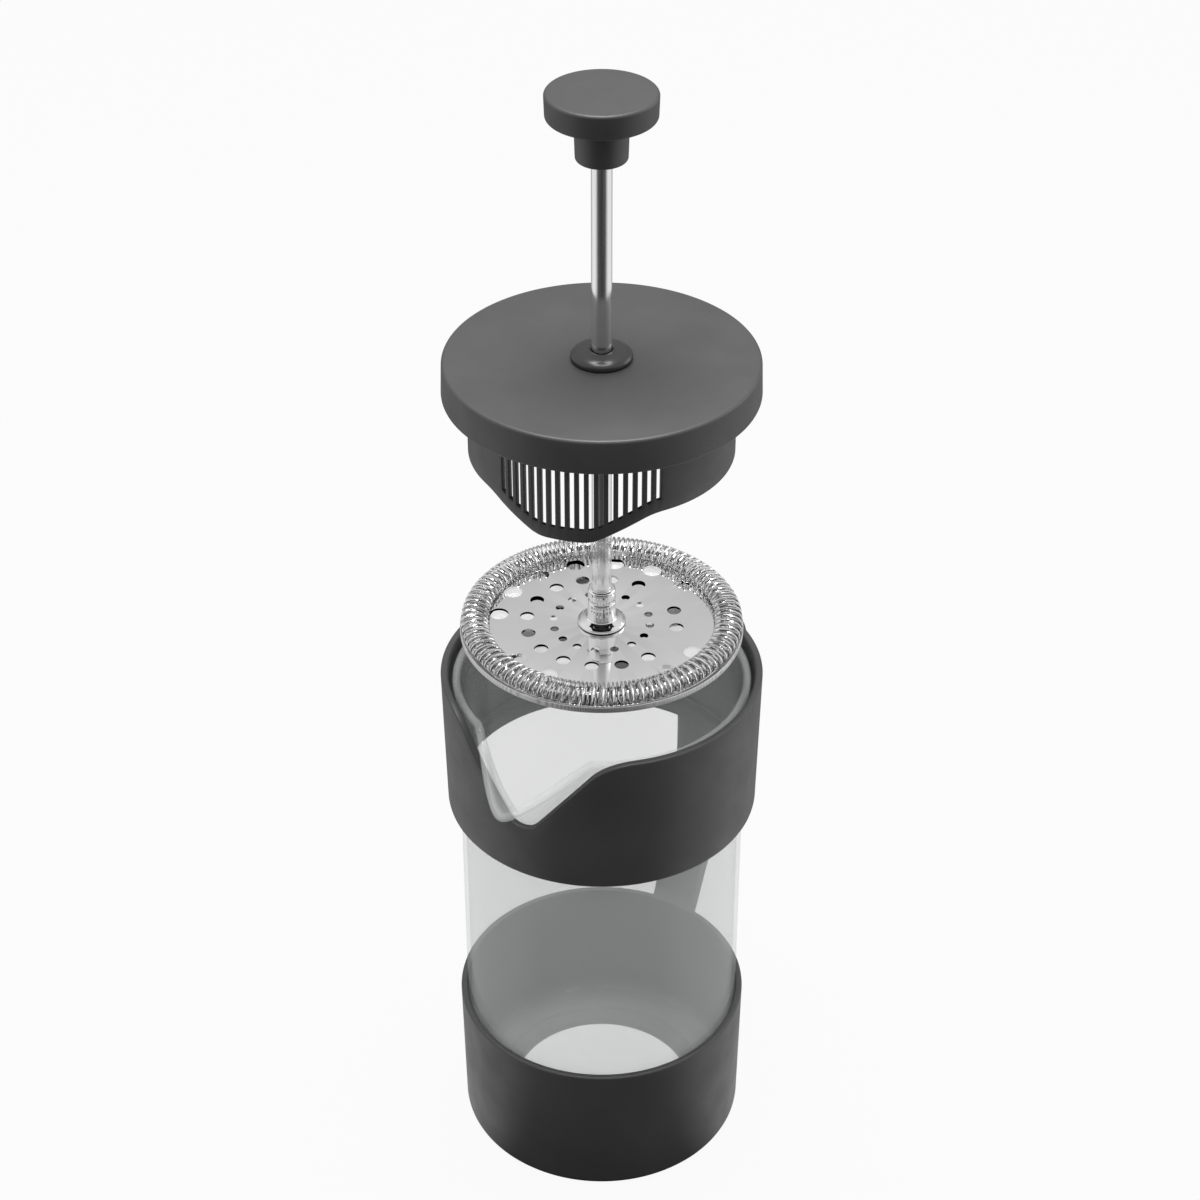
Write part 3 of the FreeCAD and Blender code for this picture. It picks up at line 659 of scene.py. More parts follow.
# -------------------------------------------------------------------------------- carafe
@dataclass
class Beaker:
    """The blown glass, with a fire-polished bead and a pinched spout."""

    radius: float = 47.8
    wall: float = 1.4
    floor: float = 2.2
    corner: float = 4.3
    low: float = 6.2
    rim: float = 190.7
    bead: float = 2.8
    bead_height: float = 4.0
    bead_out: float = 0.8
    spout_from: float = 150.0
    spout_reach: float = 16.8
    spout_drop: float = 16.0
    spout_half_angle: float = 27.0
    tip_softness: float = 0.09
    reach_powers: Point = (1.5, 2.1)
    drop_powers: Point = (1.18, 1.6)
    columns: int = 300

    def middle_line(self) -> np.ndarray:
        """Radius, height and thickness down the middle of the glass, from the floor's centre."""
        mid = self.radius - self.wall / 2
        base = self.low + self.floor / 2
        rows = [(r, base, self.floor) for r in np.linspace(0.0, mid - self.corner, 9)]
        for a in np.linspace(0.0, math.pi / 2, 11)[1:]:
            share = a / (math.pi / 2)
            rows.append((mid - self.corner * (1 - math.sin(a)), base + self.corner * (1 - math.cos(a)),
                         self.floor + (self.wall - self.floor) * share))
        rows += [(mid, z, self.wall) for z in np.linspace(base + self.corner, self.spout_from, 9)[1:]]
        top = self.rim - self.bead / 2
        for z in np.linspace(self.spout_from, top, 46)[1:]:
            swell = max(0.0, 1 - (top - z) / self.bead_height)
            swell = swell * swell * (3 - 2 * swell)
            rows.append((mid + self.bead_out * swell, z, self.wall + (self.bead - self.wall) * swell))
        return np.array(rows)

    def pinched(self, r: np.ndarray, z: np.ndarray, theta: np.ndarray) -> np.ndarray:
        """Pull the rim out and down into the spout.

        Args:
            r: Radii.
            z: Heights.
            theta: Angles round the axis.

        Returns:
            The points.
        """
        up = np.clip((z - self.spout_from) / (self.rim - self.spout_from), 0, 1)
        half = math.radians(self.spout_half_angle) * np.power(up, 0.6) + 1e-6
        across = np.abs(spout_angle(theta)) / half
        soft = self.tip_softness
        tent = (math.hypot(1, soft) - np.hypot(across, soft)) / (math.hypot(1, soft) - soft)
        tent = np.clip(tent, 0, 1)
        out = self.spout_reach * np.power(tent, self.reach_powers[0]) * np.power(up, self.reach_powers[1])
        down = self.spout_drop * np.power(tent, self.drop_powers[0]) * np.power(up, self.drop_powers[1])
        return np.stack(((r + out) * np.cos(theta), (r + out) * np.sin(theta), z - down), -1)

    def build(self) -> bpy.types.Object:
        """Make the glass: its middle surface, thickened to both sides and rounded at the rim."""
        line = self.middle_line()
        theta = dense_round(self.columns, 0.6)[:, None]
        middle = self.pinched(*np.broadcast_arrays(line[:, 0], line[:, 1], theta))
        along = np.gradient(middle, axis=1)
        around = np.roll(middle, -1, 0) - np.roll(middle, 1, 0)
        around[:, 0] = around[:, 1]
        normal = np.cross(around, along)
        normal /= np.linalg.norm(normal, axis=-1, keepdims=True)
        along /= np.linalg.norm(along, axis=-1, keepdims=True)
        half = line[None, :, 2:3] / 2
        lip = [middle[:, -1] + half[:, -1] * (normal[:, -1] * math.cos(a) + along[:, -1] * math.sin(a))
               for a in np.linspace(0, math.pi, 9)[1:-1]]
        outer = middle + normal * half
        inner = (middle - normal * half)[:, ::-1]
        columns = np.concatenate((outer, np.stack(lip, 1), inner), axis=1)
        rows = columns.shape[1]
        return as_object("beaker", columns.reshape(-1, 3), ring_faces(self.columns, rows, False))


@dataclass
class Collar:
    """Plastic band round the top of the glass, with a wave cut for the spout."""

    radius_top: float = 53.0
    radius_low: float = 52.0
    wall: float = 2.5
    low: float = 142.2
    top: float = 193.0
    lip_inner: float = 48.05
    lip_height: float = 4.5
    notch_low: float = 162.2
    notch_half: float = 3.5
    flank: float = 51.4
    notch_round: float = 6.5
    shoulder_round: float = 16.0
    edge: float = 0.7
    columns: int = 480

    def top_edge(self, theta: np.ndarray) -> np.ndarray:
        """Height of the collar's edge at each angle."""
        run = (self.top - self.notch_low) / math.tan(math.radians(self.flank))
        shoulder = self.notch_half + run
        line = rounded([
            (-shoulder, self.top, 0), (-self.notch_half, self.notch_low, self.notch_round),
            (self.notch_half, self.notch_low, self.notch_round),
            (shoulder, self.top, self.shoulder_round), (shoulder + 60.0, self.top, 0),
        ], closed=False, steps=16)
        right = np.array([p for p in line if p[0] >= 0])
        delta = spout_angle(theta)
        across = np.where(np.abs(delta) < math.pi / 2, np.abs(np.sin(delta)) * self.radius_top, 1e3)
        return np.interp(across, right[:, 0], right[:, 1])

    def build(self) -> bpy.types.Object:
        """Make the band: one closed section at each angle, as high as the edge is there."""
        theta = dense_round(self.columns, 0.55)
        tops = self.top_edge(theta)
        arc = [self.edge * (1 - math.cos(a)) for a in np.linspace(0, math.pi / 2, 5)]
        outline: list[tuple[float, str, float]] = []
        outline += [(d, "low", e) for d, e in zip(arc[::-1], arc)]
        outline += [(0.0, "low", 12.0), (0.0, "top", -6.0)]
        outline += [(d, "top", -e) for d, e in zip(arc, arc[::-1])]
        outline += [(self.wall - d, "top", -e) for d, e in zip(arc[::-1], arc)]
        outline += [(self.wall, "top", -6.0), (self.wall, "low", self.lip_height + 0.4)]
        slope = (self.radius_top - self.radius_low) / (self.top - self.low)
        verts = np.empty((len(theta), len(outline) + 2, 3))
        for k, (depth, end, dz) in enumerate(outline):
            z = tops + dz if end == "top" else np.full_like(tops, self.low + dz)
            r = self.radius_low + slope * (z - self.low) - depth
            verts[:, k] = np.stack((r * np.cos(theta), r * np.sin(theta), z), -1)
        for k, z in ((-2, self.low + self.lip_height), (-1, self.low + 0.3)):
            verts[:, k] = np.stack((self.lip_inner * np.cos(theta), self.lip_inner * np.sin(theta),
                                    np.full_like(theta, z)), -1)
        return as_object("collar_band", verts.reshape(-1, 3), ring_faces(len(theta), len(outline) + 2, True))


@dataclass
class Handle:
    """Ear-shaped handle with a strip let into its finger side."""

    width_top: float = 24.0
    width_low: float = 16.0
    top: float = 171.0
    low: float = 37.0
    liner_depth: float = 3.2
    liner_margin: float = 2.6
    corner: float = 3.6
    stations: int = 96

    outer: tuple[Corner, ...] = (
        (50.9, 171.0, 0), (86.0, 170.0, 13.0), (82.5, 99.5, 60.0), (53.4, 39.0, 4.0), (49.2, 37.6, 0))
    inner: tuple[Corner, ...] = (
        (50.9, 159.5, 0), (74.5, 159.5, 7.0), (71.0, 103.5, 48.0), (52.6, 51.8, 5.0), (49.2, 51.8, 0))

    def resampled(self, corners: tuple[Corner, ...]) -> np.ndarray:
        """Even stations along a rounded line."""
        line = np.array(rounded(list(corners), closed=False, steps=14))
        run = np.concatenate(([0.0], np.cumsum(np.linalg.norm(np.diff(line, axis=0), axis=1))))
        at = np.linspace(0, run[-1], self.stations)
        return np.stack((np.interp(at, run, line[:, 0]), np.interp(at, run, line[:, 1])), -1)

    def sweep(self, name: str, front: np.ndarray, back: np.ndarray, margin: float,
              corner: float) -> bpy.types.Object:
        """Loft rounded sections between two lines.

        Args:
            name: The piece's name.
            front: The outer line's stations.
            back: The inner line's stations.
            margin: How much narrower than the handle the piece is, on each side.
            corner: Rounding of the section's corners.

        Returns:
            The lofted piece, closed at both ends.
        """
        verts = []
        for a, b in zip(front, back):
            share = (a[1] - self.low) / (self.top - self.low)
            half = (self.width_low + (self.width_top - self.width_low) * share) / 2 - margin
            depth = float(np.linalg.norm(a - b))
            fit = min(corner, depth * 0.48)
            section = rounded([(-half, 0, fit), (half, 0, fit), (half, depth, fit * 0.7),
                               (-half, depth, fit * 0.7)], steps=6)
            step = (b - a) / depth
            verts += [(a[0] + step[0] * d, y, a[1] + step[1] * d) for y, d in section]
        rows = len(verts) // self.stations
        faces = ring_faces(self.stations, rows, True)[:-rows]
        faces += [tuple(range(rows)), tuple(range((self.stations - 1) * rows, self.stations * rows))]
        return as_object(name, np.array(verts), faces)

    def build(self) -> tuple[bpy.types.Object, bpy.types.Object]:
        """Make the grip and the strip on its finger side."""
        front = self.resampled(self.outer)
        back = self.resampled(self.inner)
        depth = np.linalg.norm(back - front, axis=1, keepdims=True)
        step = (back - front) / depth
        grip = self.sweep("handle_body", front, back, 0.0, self.corner)
        seat = back - step * self.liner_depth
        liner = self.sweep("handle_strip", seat, back + step * 0.35, self.liner_margin, 1.0)
        return grip, liner


@dataclass
class BaseCup:
    """Plastic cup under the glass, open in the middle, with its soft rings."""

    radius_top: float = 50.2
    radius_low: float = 49.4
    top: float = 54.3
    low: float = 1.0
    floor: float = 3.0
    hole: float = 32.0
    bore: float = 47.95
    corner: float = 3.2
    groove_inner: float = 38.5
    groove_outer: float = 44.5
    groove_depth: float = 1.2

    def build(self) -> bpy.types.Object:
        """Make the cup, with the groove that holds the foot ring."""
        low = self.low
        inside = low + self.floor
        return lathe("base_shell", rounded([
            (self.hole, low, 0.4), (self.groove_inner, low, 0.1),
            (self.groove_inner, low + self.groove_depth, 0), (self.groove_outer, low + self.groove_depth, 0),
            (self.groove_outer, low, 0.1), (self.radius_low, low, self.corner),
            (self.radius_top, self.top, 0.8), (self.bore, self.top, 0.5),
            (self.bore, inside, 0.3), (self.hole, inside, 0.4),
        ]), 256)


@dataclass
class Carafe:
    """Everything that stays on the table."""

    beaker: Beaker
    collar: Collar
    handle: Handle
    base: BaseCup
    screw_radius: float = 1.5
    head_radius: float = 2.9
    head_height: float = 1.35
    cross_slot: Corner = (3.2, 0.8, 1.4)
    fixings: tuple[tuple[float, ...], ...] = (
        (49.1, -6.0, 166.85, 13.0), (49.1, 6.0, 166.85, 13.0), (48.05, 0.0, 45.3, 6.8))
    seal_outer: float = 49.45
    seal_height: float = 4.0
    cushion: Point = (37.0, 42.8)
    slip: float = 0.02

    def screws(self) -> bpy.types.Object:
        """Cross-head screws at the handle's fixings, drawn by one tree."""
        tree = Maker("screw_maker", Head=self.head_radius * MM, Height=self.head_height * MM,
                     Shank=self.screw_radius * MM)
        outer_face = tree.combine(0.0, 0.0, tree.math("MULTIPLY", tree.size("Height"), -0.5))
        slot = tree.bar(tuple(side * MM for side in self.cross_slot))
        slots = [tree.moved(slot, outer_face, (0.0, 0.0, turn)) for turn in (0.0, math.pi / 2)]
        blank = tree.drum(tree.size("Head"), tree.size("Height"), 28)
        head = tree.moved(tree.fused("DIFFERENCE", blank, slots), (0.0, 0.0, self.head_height / 2 * MM))
        screws = []
        for x, y, z, length in self.fixings:
            shank = tree.drum(tree.size("Shank"), (length - self.head_height - 0.3) * MM, 20)
            shank = tree.moved(shank, (0.0, 0.0, (length + self.head_height) / 2 * MM))
            screws.append(tree.moved(tree.joined([shank, head]), (x * MM, y * MM, z * MM),
                                     (0.0, math.pi / 2, 0.0)))
        tree.finish(tree.joined(screws), Finish.SCREW.made())
        return tree.bake("screws")

    def build(self) -> None:
        """Make and dress every piece."""
        on = Body.CARAFE
        dress(self.beaker.build(), Finish.GLASS, on, "glass_beaker")
        dress(self.collar.build(), Finish.PLASTIC, on, "collar")
        grip, liner = self.handle.build()
        dress(grip, Finish.PLASTIC, on, "handle_grip")
        dress(liner, Finish.PLASTIC, on, "handle_liner")
        dress(self.base.build(), Finish.PLASTIC, on, "base_cup")
        dress(self.screws(), Finish.SCREW, on, "handle_screws")
        lip = self.collar.low + self.collar.lip_height
        seal = turned_ring("glass_seal", self.beaker.radius + 0.08, self.seal_outer,
                           lip + self.slip, lip + self.seal_height, 0.5)
        dress(seal, Finish.RUBBER, on, "collar_seal")
        base = self.base
        pad = turned_ring("glass_cushion", *self.cushion, base.low + base.floor + self.slip,
                          self.beaker.low - self.slip, 0.5)
        dress(pad, Finish.RUBBER, on, "base_cushion")
        foot = turned_ring("foot_tread", base.groove_inner + 0.03, base.groove_outer - 0.03,
                           0.0, base.low + base.groove_depth - self.slip, 0.45)
        dress(foot, Finish.RUBBER, on, "foot_ring")


# ----------------------------------------------------------------------------------- lid
@dataclass
class Strainer:
    """Skirt under the lid with a tongue of slots."""

    radius: float = 41.6
    wall: float = 1.6
    top: float = 299.4
    low: float = 278.2
    tongue: float = 9.0
    half_angle: float = 38.0
    flat_share: float = 0.33
    wave_round: float = 12.0
    turn: float = 14.0
    slots: int = 18
    slots_turn: float = 5.5
    pitch: float = 4.1
    slot_width: float = 1.55
    land: float = 4.2
    slot_top: float = 296.4
    flange: float = 46.0
    flange_height: float = 1.6
    softened: float = 0.22

    def low_edge(self, angle: np.ndarray) -> np.ndarray:
        """Height of the skirt's lower edge at an angle from the tongue's middle."""
        half = self.radius * math.sin(math.radians(self.half_angle))
        deep = self.low - self.tongue
        line = rounded([
            (-half, self.low, 0), (-half * self.flat_share, deep, self.wave_round),
            (half * self.flat_share, deep, self.wave_round), (half, self.low, self.wave_round),
            (half + 90.0, self.low, 0),
        ], closed=False, steps=12)
        right = np.array([p for p in line if p[0] >= 0])
        across = np.where(np.abs(angle) < math.pi / 2, np.abs(np.sin(angle)) * self.radius, 1e3)
        return np.interp(across, right[:, 0], right[:, 1])

    def columns(self) -> tuple[np.ndarray, np.ndarray]:
        """Angles of every column, and whether a slot opens just after it."""
        half = math.degrees(self.slot_width / 2 / self.radius)
        edges = []
        for i in range(self.slots):
            middle = (i - (self.slots - 1) / 2) * self.pitch + self.slots_turn
            edges += [middle - half, middle + half]
        first, last = edges[0], edges[-1]
        rest = np.linspace(last, first + 360.0, 200)[1:-1]
        ribs = [(a + b) / 2 for a, b in zip(edges[1:-1:2], edges[2::2])]
        angles = np.array(sorted(edges + ribs) + rest.tolist())
        starts = set(np.round(edges[0::2], 6))
        return np.radians(angles), np.array([round(float(a), 6) in starts for a in angles])

    def build(self) -> bpy.types.Object:
        """Make the skirt as four walls of columns, with gaps where the slots are."""
        angles, opens = self.columns()
        low = self.low_edge((angles + math.pi) % (2 * math.pi) - math.pi)
        slot_low = np.minimum(low + self.land, self.slot_top - 2.0)
        theta = math.pi + math.radians(self.turn) + angles
        levels = [low, slot_low, np.full_like(low, self.slot_top), np.full_like(low, self.top)]
        count = len(angles)
        verts: list[list[float]] = []
        for r in (self.radius, self.radius - self.wall):
            for z in levels:
                verts += np.stack((r * np.cos(theta), r * np.sin(theta), z), -1).tolist()
        rows = len(levels)

        def at(side: int, row: int, column: int) -> int:
            """Vertex number."""
            return (side * rows + row) * count + column % count

        faces: Faces = []
        for i in range(count):
            for row in range(rows - 1):
                if row == 1 and opens[i]:
                    continue
                for side in (0, 1):
                    faces.append((at(side, row, i), at(side, row, i + 1),
                                  at(side, row + 1, i + 1), at(side, row + 1, i)))
            bridges = [(0, i, i + 1), (rows - 1, i, i + 1)]
            if opens[i]:
                bridges += [(1, i, i + 1), (2, i, i + 1)]
                for j in (i, i + 1):
                    faces.append((at(0, 1, j), at(0, 2, j), at(1, 2, j), at(1, 1, j)))
            for row, a, b in bridges:
                faces.append((at(0, row, a), at(0, row, b), at(1, row, b), at(1, row, a)))
        skirt = as_object("strainer_skirt", np.array(verts), faces)
        bevel = skirt.modifiers.new("soft_edges", "BEVEL")
        bevel.width = self.softened * MM
        bevel.segments = 2
        bevel.limit_method = "ANGLE"
        bevel.angle_limit = math.radians(50)
        graph = bpy.context.evaluated_depsgraph_get()
        mesh = bpy.data.meshes.new_from_object(skirt.evaluated_get(graph))
        skirt.modifiers.clear()
        skirt.data = mesh
        tidy(skirt)
        return skirt

    def flange_ring(self) -> bpy.types.Object:
        """Make the flange that joins the skirt to the lid."""
        return turned_ring("strainer_flange", self.radius - self.wall, self.flange,
                           self.top, self.top + self.flange_height, 0.2)


@dataclass
class Lid:
    """The round cap with its strainer."""

    radius: float = 49.4
    draft: float = 0.4
    low: float = 298.4
    height: float = 11.2
    wall: float = 2.2
    boss: float = 12.0
    bore: float = 6.7
    cavity: float = 46.05
    edge: float = 1.1

    def build(self, strainer: Strainer) -> None:
        """Make and dress the cap and the strainer."""
        top = self.low + self.height
        roof = top - self.wall
        cap = lathe("lid_shell", rounded([
            (self.bore, self.low, 0.4), (self.boss, self.low, 0.4), (self.boss, roof, 0.8),
            (self.cavity, roof, 1.2), (self.cavity, self.low, 0.3), (self.radius, self.low, 0.8),
            (self.radius - self.draft, top, self.edge), (self.bore, top, 0.3),
        ]), 256)
        dress(cap, Finish.PLASTIC, Body.LID, "lid_cap")
        dress(strainer.build(), Finish.PLASTIC, Body.LID, "lid_strainer")
        dress(strainer.flange_ring(), Finish.PLASTIC, Body.LID, "lid_strainer")


@dataclass
class Guide:
    """The bushing that the rod runs through, and its nut."""

    seat: float = 309.65
    radius: float = 9.6
    dome: float = 3.4
    brim: float = 0.9
    dome_sweep: float = 84.0
    mouth: float = 3.5
    bore: float = 3.22
    shank: float = 6.4
    thread: float = 5.2
    nut: float = 8.6
    nut_low: float = 294.6
    nut_high: float = 297.55

    def build(self) -> None:
        """Make and dress both pieces."""
        sweep = np.linspace(0.0, math.radians(self.dome_sweep), 14)
        dome = [(self.mouth + (self.radius - self.mouth) * math.cos(a),
                 self.seat + self.brim + (self.dome - self.brim) * math.sin(a)) for a in sweep]
        outline = [(self.bore, self.nut_low - 1.0), (self.thread, self.nut_low - 1.0),
                   (self.thread, self.nut_high), (self.shank, self.nut_high), (self.shank, self.seat),
                   (self.radius - 0.5, self.seat), (self.radius, self.seat + 0.4)]
        outline += dome
        outline += [(self.mouth, self.seat + self.dome - 0.3), (self.bore, self.seat + self.dome - 1.2)]
        dress(lathe("rod_guide", outline, 128), Finish.BUSHING, Body.GUIDE, "rod_bushing")
        nut = turned_ring("guide_nut", self.thread + 0.05, self.nut, self.nut_low, self.nut_high - 0.05, 0.35)
        dress(nut, Finish.ROD, Body.GUIDE, "bushing_nut")


# ------------------------------------------------------------------------------- plunger
@dataclass
class Plunger:
    """Knob, rod and the bright ferrule at the rod's lower end."""

    top: float = 396.9
    knob_radius: float = 16.85
    knob_height: float = 7.8
    stem_top: float = 8.15
    stem_low: float = 7.85
    knob_low: float = 375.8
    insert: float = 4.6
    insert_height: float = 12.0
    socket_height: float = 13.0
    rod: float = 3.17
    rod_low: float = 199.6
    shoulder: float = 211.3
    thread: float = 2.5
    thread_pitch: float = 0.8
    thread_turns: int = 14
    ridge: float = 0.26
    ferrule: float = 4.5
    ferrule_height: float = 13.4
    flange: float = 7.8
    flange_height: float = 1.6

    def knob(self) -> bpy.types.Object:
        """Disc and stem moulded in one."""
        neck = self.top - self.knob_height
        return lathe("knob_body", rounded([
            (0, self.top, 0), (self.knob_radius, self.top, 1.0), (self.knob_radius * 0.985, neck, 1.0),
            (self.stem_top + 0.1, neck, 1.2), (self.stem_low, self.knob_low, 1.0),
            (self.insert + 0.05, self.knob_low, 0.2),
            (self.insert + 0.05, self.knob_low + self.socket_height, 0.2),
            (0, self.knob_low + self.socket_height, 0),
        ], closed=False), 160)

    def threaded_end(self) -> bpy.types.Object:
        """The rod's thread, wound by a tree as a ridge round the rod's end."""
        tree = Maker("thread_maker", Turns=self.thread_turns, Steps=20, Radius=(self.thread - 0.18) * MM,
                     Pitch=self.thread_pitch * MM, Ridge=self.ridge * MM, Low=(self.rod_low + 0.5) * MM)
        line = tree.line(tree.math("MULTIPLY", tree.size("Turns"), tree.size("Steps")))
        share = tree.math("DIVIDE", tree.add("GeometryNodeInputIndex").outputs[0], tree.size("Steps"))
        height = tree.math("ADD", tree.math("MULTIPLY", share, tree.size("Pitch")), tree.size("Low"))
        places = tree.around(tree.math("MULTIPLY", share, 2 * math.pi), tree.size("Radius"), height)
        ridge = tree.wire(line, places, tree.size("Ridge"), 4, True)
        tree.finish(ridge, Finish.ROD.made())
        return tree.bake("rod_thread")

    def build(self) -> None:
        """Make and dress every piece."""
        on = Body.PLUNGER
        dress(self.knob(), Finish.PLASTIC, on, "knob")
        insert = turned_ring("knob_bush", self.rod + 0.02, self.insert, self.knob_low + 0.05,
                             self.knob_low + self.insert_height, 0.2, 96)
        dress(insert, Finish.BRASS, on, "knob_insert")
        rod_high = self.knob_low + self.insert_height
        thick_low = self.shoulder + 3.0
        core = self.thread - 0.2
        rod = lathe("rod", rounded([
            (0, rod_high, 0), (self.rod, rod_high, 0.3), (self.rod, thick_low, 0.1),
            (core, thick_low, 0.05), (core, self.rod_low, 0.4), (0, self.rod_low, 0),
        ], closed=False), 96)
        dress(rod, Finish.ROD, on, "plunger_rod")
        dress(self.threaded_end(), Finish.ROD, on, "plunger_rod")
        low = self.shoulder
        high = low + self.ferrule_height
        ferrule = lathe("ferrule", rounded([
            (self.rod + 0.02, low, 0), (self.flange, low, 0.3), (self.flange, low + 0.9, 0.35),
            (self.flange - 1.0, low + self.flange_height, 0.4),
            (self.ferrule + 0.3, low + self.flange_height + 0.5, 0.8),
            (self.ferrule, high - 7.0, 0.5), (self.ferrule, high - 5.2, 0.3),
            (self.ferrule - 0.5, high - 4.9, 0.1), (self.ferrule - 0.5, high - 4.3, 0.1),
            (self.ferrule, high - 4.0, 0.3), (self.ferrule, high, 0.8), (self.rod + 0.02, high, 0.1),
        ]), 128)
        dress(ferrule, Finish.PRESSED, on, "rod_ferrule")


# ------------------------------------------------------------------------- filter stack
@dataclass
class FilterStack:
    """Perforated plate, coil, wire cloth and the cross plate under them."""

    edge: float = 46.1
    plate_top: float = 211.1
    plate: float = 0.8
    flat: float = 36.6
    step: float = 1.3
    bore: float = 2.9
    spokes: int = 16
    holes: tuple[Point, ...] = ((15.8, 1.4), (24.5, 2.3), (33.8, 3.1))
    punch_depth: float = 3.0
    coil_ring: float = 41.3
    coil: float = 4.5
    coil_rise: float = 3.0
    coil_height: float = 212.85
    wire: float = 0.36
    turns: int = 178
    sways: float = 23.0
    sway: float = 0.35
    screen_low: float = 208.35
    screen: float = 0.5
    screen_edge: float = 2.4
    cross_low: float = 207.2
    cross_high: float = 208.2
    cross_radius: float = 43.0
    cross_ring: float = 5.0
    arm: float = 11.0
    hub: float = 5.6
    hub_low: float = 198.6
    hub_bore: float = 2.58

    def perforated(self) -> bpy.types.Object:
        """The plate with its three rings of holes, punched by one tree."""
        top = self.plate_top
        seat = top - self.step
        rim = self.coil_ring + self.coil * 0.6
        blank = lathe("plate_blank", rounded([
            (self.bore, top - self.plate, 0.1), (self.flat - 0.4, top - self.plate, 0.5),
            (self.flat + 1.0, seat - self.plate, 0.5), (rim, seat - self.plate, 0.3),
            (rim, seat, 0.3), (self.flat + 1.6, seat, 0.6), (self.flat, top, 0.7), (self.bore, top, 0.1),
        ], steps=4), 256)
        sizes: dict[str, float | int] = {"Spokes": self.spokes, "Height": (top - self.plate / 2) * MM}
        for i, (place, radius) in enumerate(self.holes):
            sizes[f"Ring {i}"] = place * MM
            sizes[f"Hole {i}"] = radius * MM
        tree = Maker("punch", **sizes)
        middle = tree.combine(0.0, 0.0, tree.size("Height"))
        punches = []
        for i in range(len(self.holes)):
            ring = tree.add("GeometryNodeMeshCircle")
            tree.feed(ring.inputs["Vertices"], tree.size("Spokes"))
            tree.feed(ring.inputs["Radius"], tree.size(f"Ring {i}"))
            spread = tree.add("GeometryNodeInstanceOnPoints")
            tree.feed(spread.inputs["Points"], tree.moved(ring.outputs["Mesh"], middle))
            punch = tree.drum(tree.size(f"Hole {i}"), self.punch_depth * MM, 28)
            tree.feed(spread.inputs["Instance"], punch)
            real = tree.add("GeometryNodeRealizeInstances")
            tree.feed(real.inputs["Geometry"], spread.outputs["Instances"])
            punches.append(real.outputs["Geometry"])
        plate = tree.fused("DIFFERENCE", tree.start.outputs["Geometry"], punches)
        tree.finish(plate, Finish.PRESSED.made())
        return tree.bake("perforated_plate", blank)

    def wound(self) -> bpy.types.Object:
        """The coil, wound round its ring by one tree, a little unevenly."""
        tree = Maker("coil_maker", Turns=self.turns, Steps=14, Ring=self.coil_ring * MM,
                     Coil=(self.coil - self.wire) * MM, Rise=(self.coil_rise - self.wire) * MM,
                     Wire=self.wire * MM, Height=self.coil_height * MM)
        count = tree.math("MULTIPLY", tree.size("Turns"), tree.size("Steps"))
        loop = tree.add("GeometryNodeSetSplineCyclic")
        tree.feed(loop.inputs["Geometry"], tree.line(count))
        loop.inputs["Cyclic"].default_value = True
        share = tree.math("DIVIDE", tree.add("GeometryNodeInputIndex").outputs[0], count)
        angle = tree.math("MULTIPLY", share, 2 * math.pi)
        sway = tree.math("MULTIPLY", tree.math("SINE", tree.math("MULTIPLY", angle, self.sways)), self.sway)
        wind = tree.math("ADD", tree.math("MULTIPLY", angle, tree.size("Turns")), sway)
        out = tree.math("MULTIPLY", tree.math("COSINE", wind), tree.size("Coil"))
        up = tree.math("MULTIPLY", tree.math("SINE", wind), tree.size("Rise"))
        places = tree.around(angle, tree.math("ADD", tree.size("Ring"), out),
                             tree.math("ADD", up, tree.size("Height")))
        tree.finish(tree.wire(loop.outputs["Geometry"], places, tree.size("Wire"), 6), Finish.SPRING.made())
        return tree.bake("coil_wire")

    def cross(self) -> bpy.types.Object:
        """The ring with four arms that carries the screen."""
        outer = self.cross_radius
        ring = turned_ring("cross_blank", outer - self.cross_ring, outer,
                           self.cross_low, self.cross_high, 0.25)
        tree = Maker("cross_maker", Reach=(outer - self.cross_ring / 2) * MM, Width=self.arm * MM,
                     Thickness=(self.cross_high - self.cross_low) * MM,
                     Height=(self.cross_high + self.cross_low) / 2 * MM)
        middle = tree.combine(0.0, 0.0, tree.size("Height"))
        reach = tree.math("MULTIPLY", tree.size("Reach"), 2.0)
        bar = tree.bar(tree.combine(reach, tree.size("Width"), tree.size("Thickness")))
        disc = tree.drum(2 * self.hub * MM, tree.size("Thickness"), 64)
        arms = [tree.moved(bar, middle, (0.0, 0.0, turn)) for turn in (math.pi / 4, math.pi * 3 / 4)]
        frame = tree.fused("UNION", None, [tree.start.outputs["Geometry"], *arms, tree.moved(disc, middle)])
        tree.finish(frame, Finish.PRESSED.made())
        return tree.bake("cross_frame", ring)

    def build(self) -> None:
        """Make and dress every piece."""
        dress(self.perforated(), Finish.PRESSED, Body.STACK, "filter_plate")
        dress(self.wound(), Finish.SPRING, Body.STACK, "filter_coil")
        inside = self.edge - self.screen
        high = self.screen_low + self.screen_edge
        screen = lathe("wire_cloth", rounded([
            (self.bore, self.screen_low, 0.1), (self.edge, self.screen_low, 0.9),
            (self.edge, high, 0.24), (inside, high, 0.24), (inside, self.screen_low + self.screen, 0.5),
            (self.bore, self.screen_low + self.screen, 0.1),
        ], steps=5), 256)
        dress(screen, Finish.CLOTH, Body.STACK, "mesh_screen")
        dress(self.cross(), Finish.PRESSED, Body.CROSS, "cross_plate")
        hub = lathe("hub_bush", rounded([
            (self.hub_bore, self.hub_low, 0.3), (self.hub, self.hub_low, 0.6),
            (self.hub, self.cross_low - 0.02, 0.1), (self.hub_bore, self.cross_low - 0.02, 0.1),
        ]), 96)
        dress(hub, Finish.PRESSED, Body.CROSS, "cross_hub")


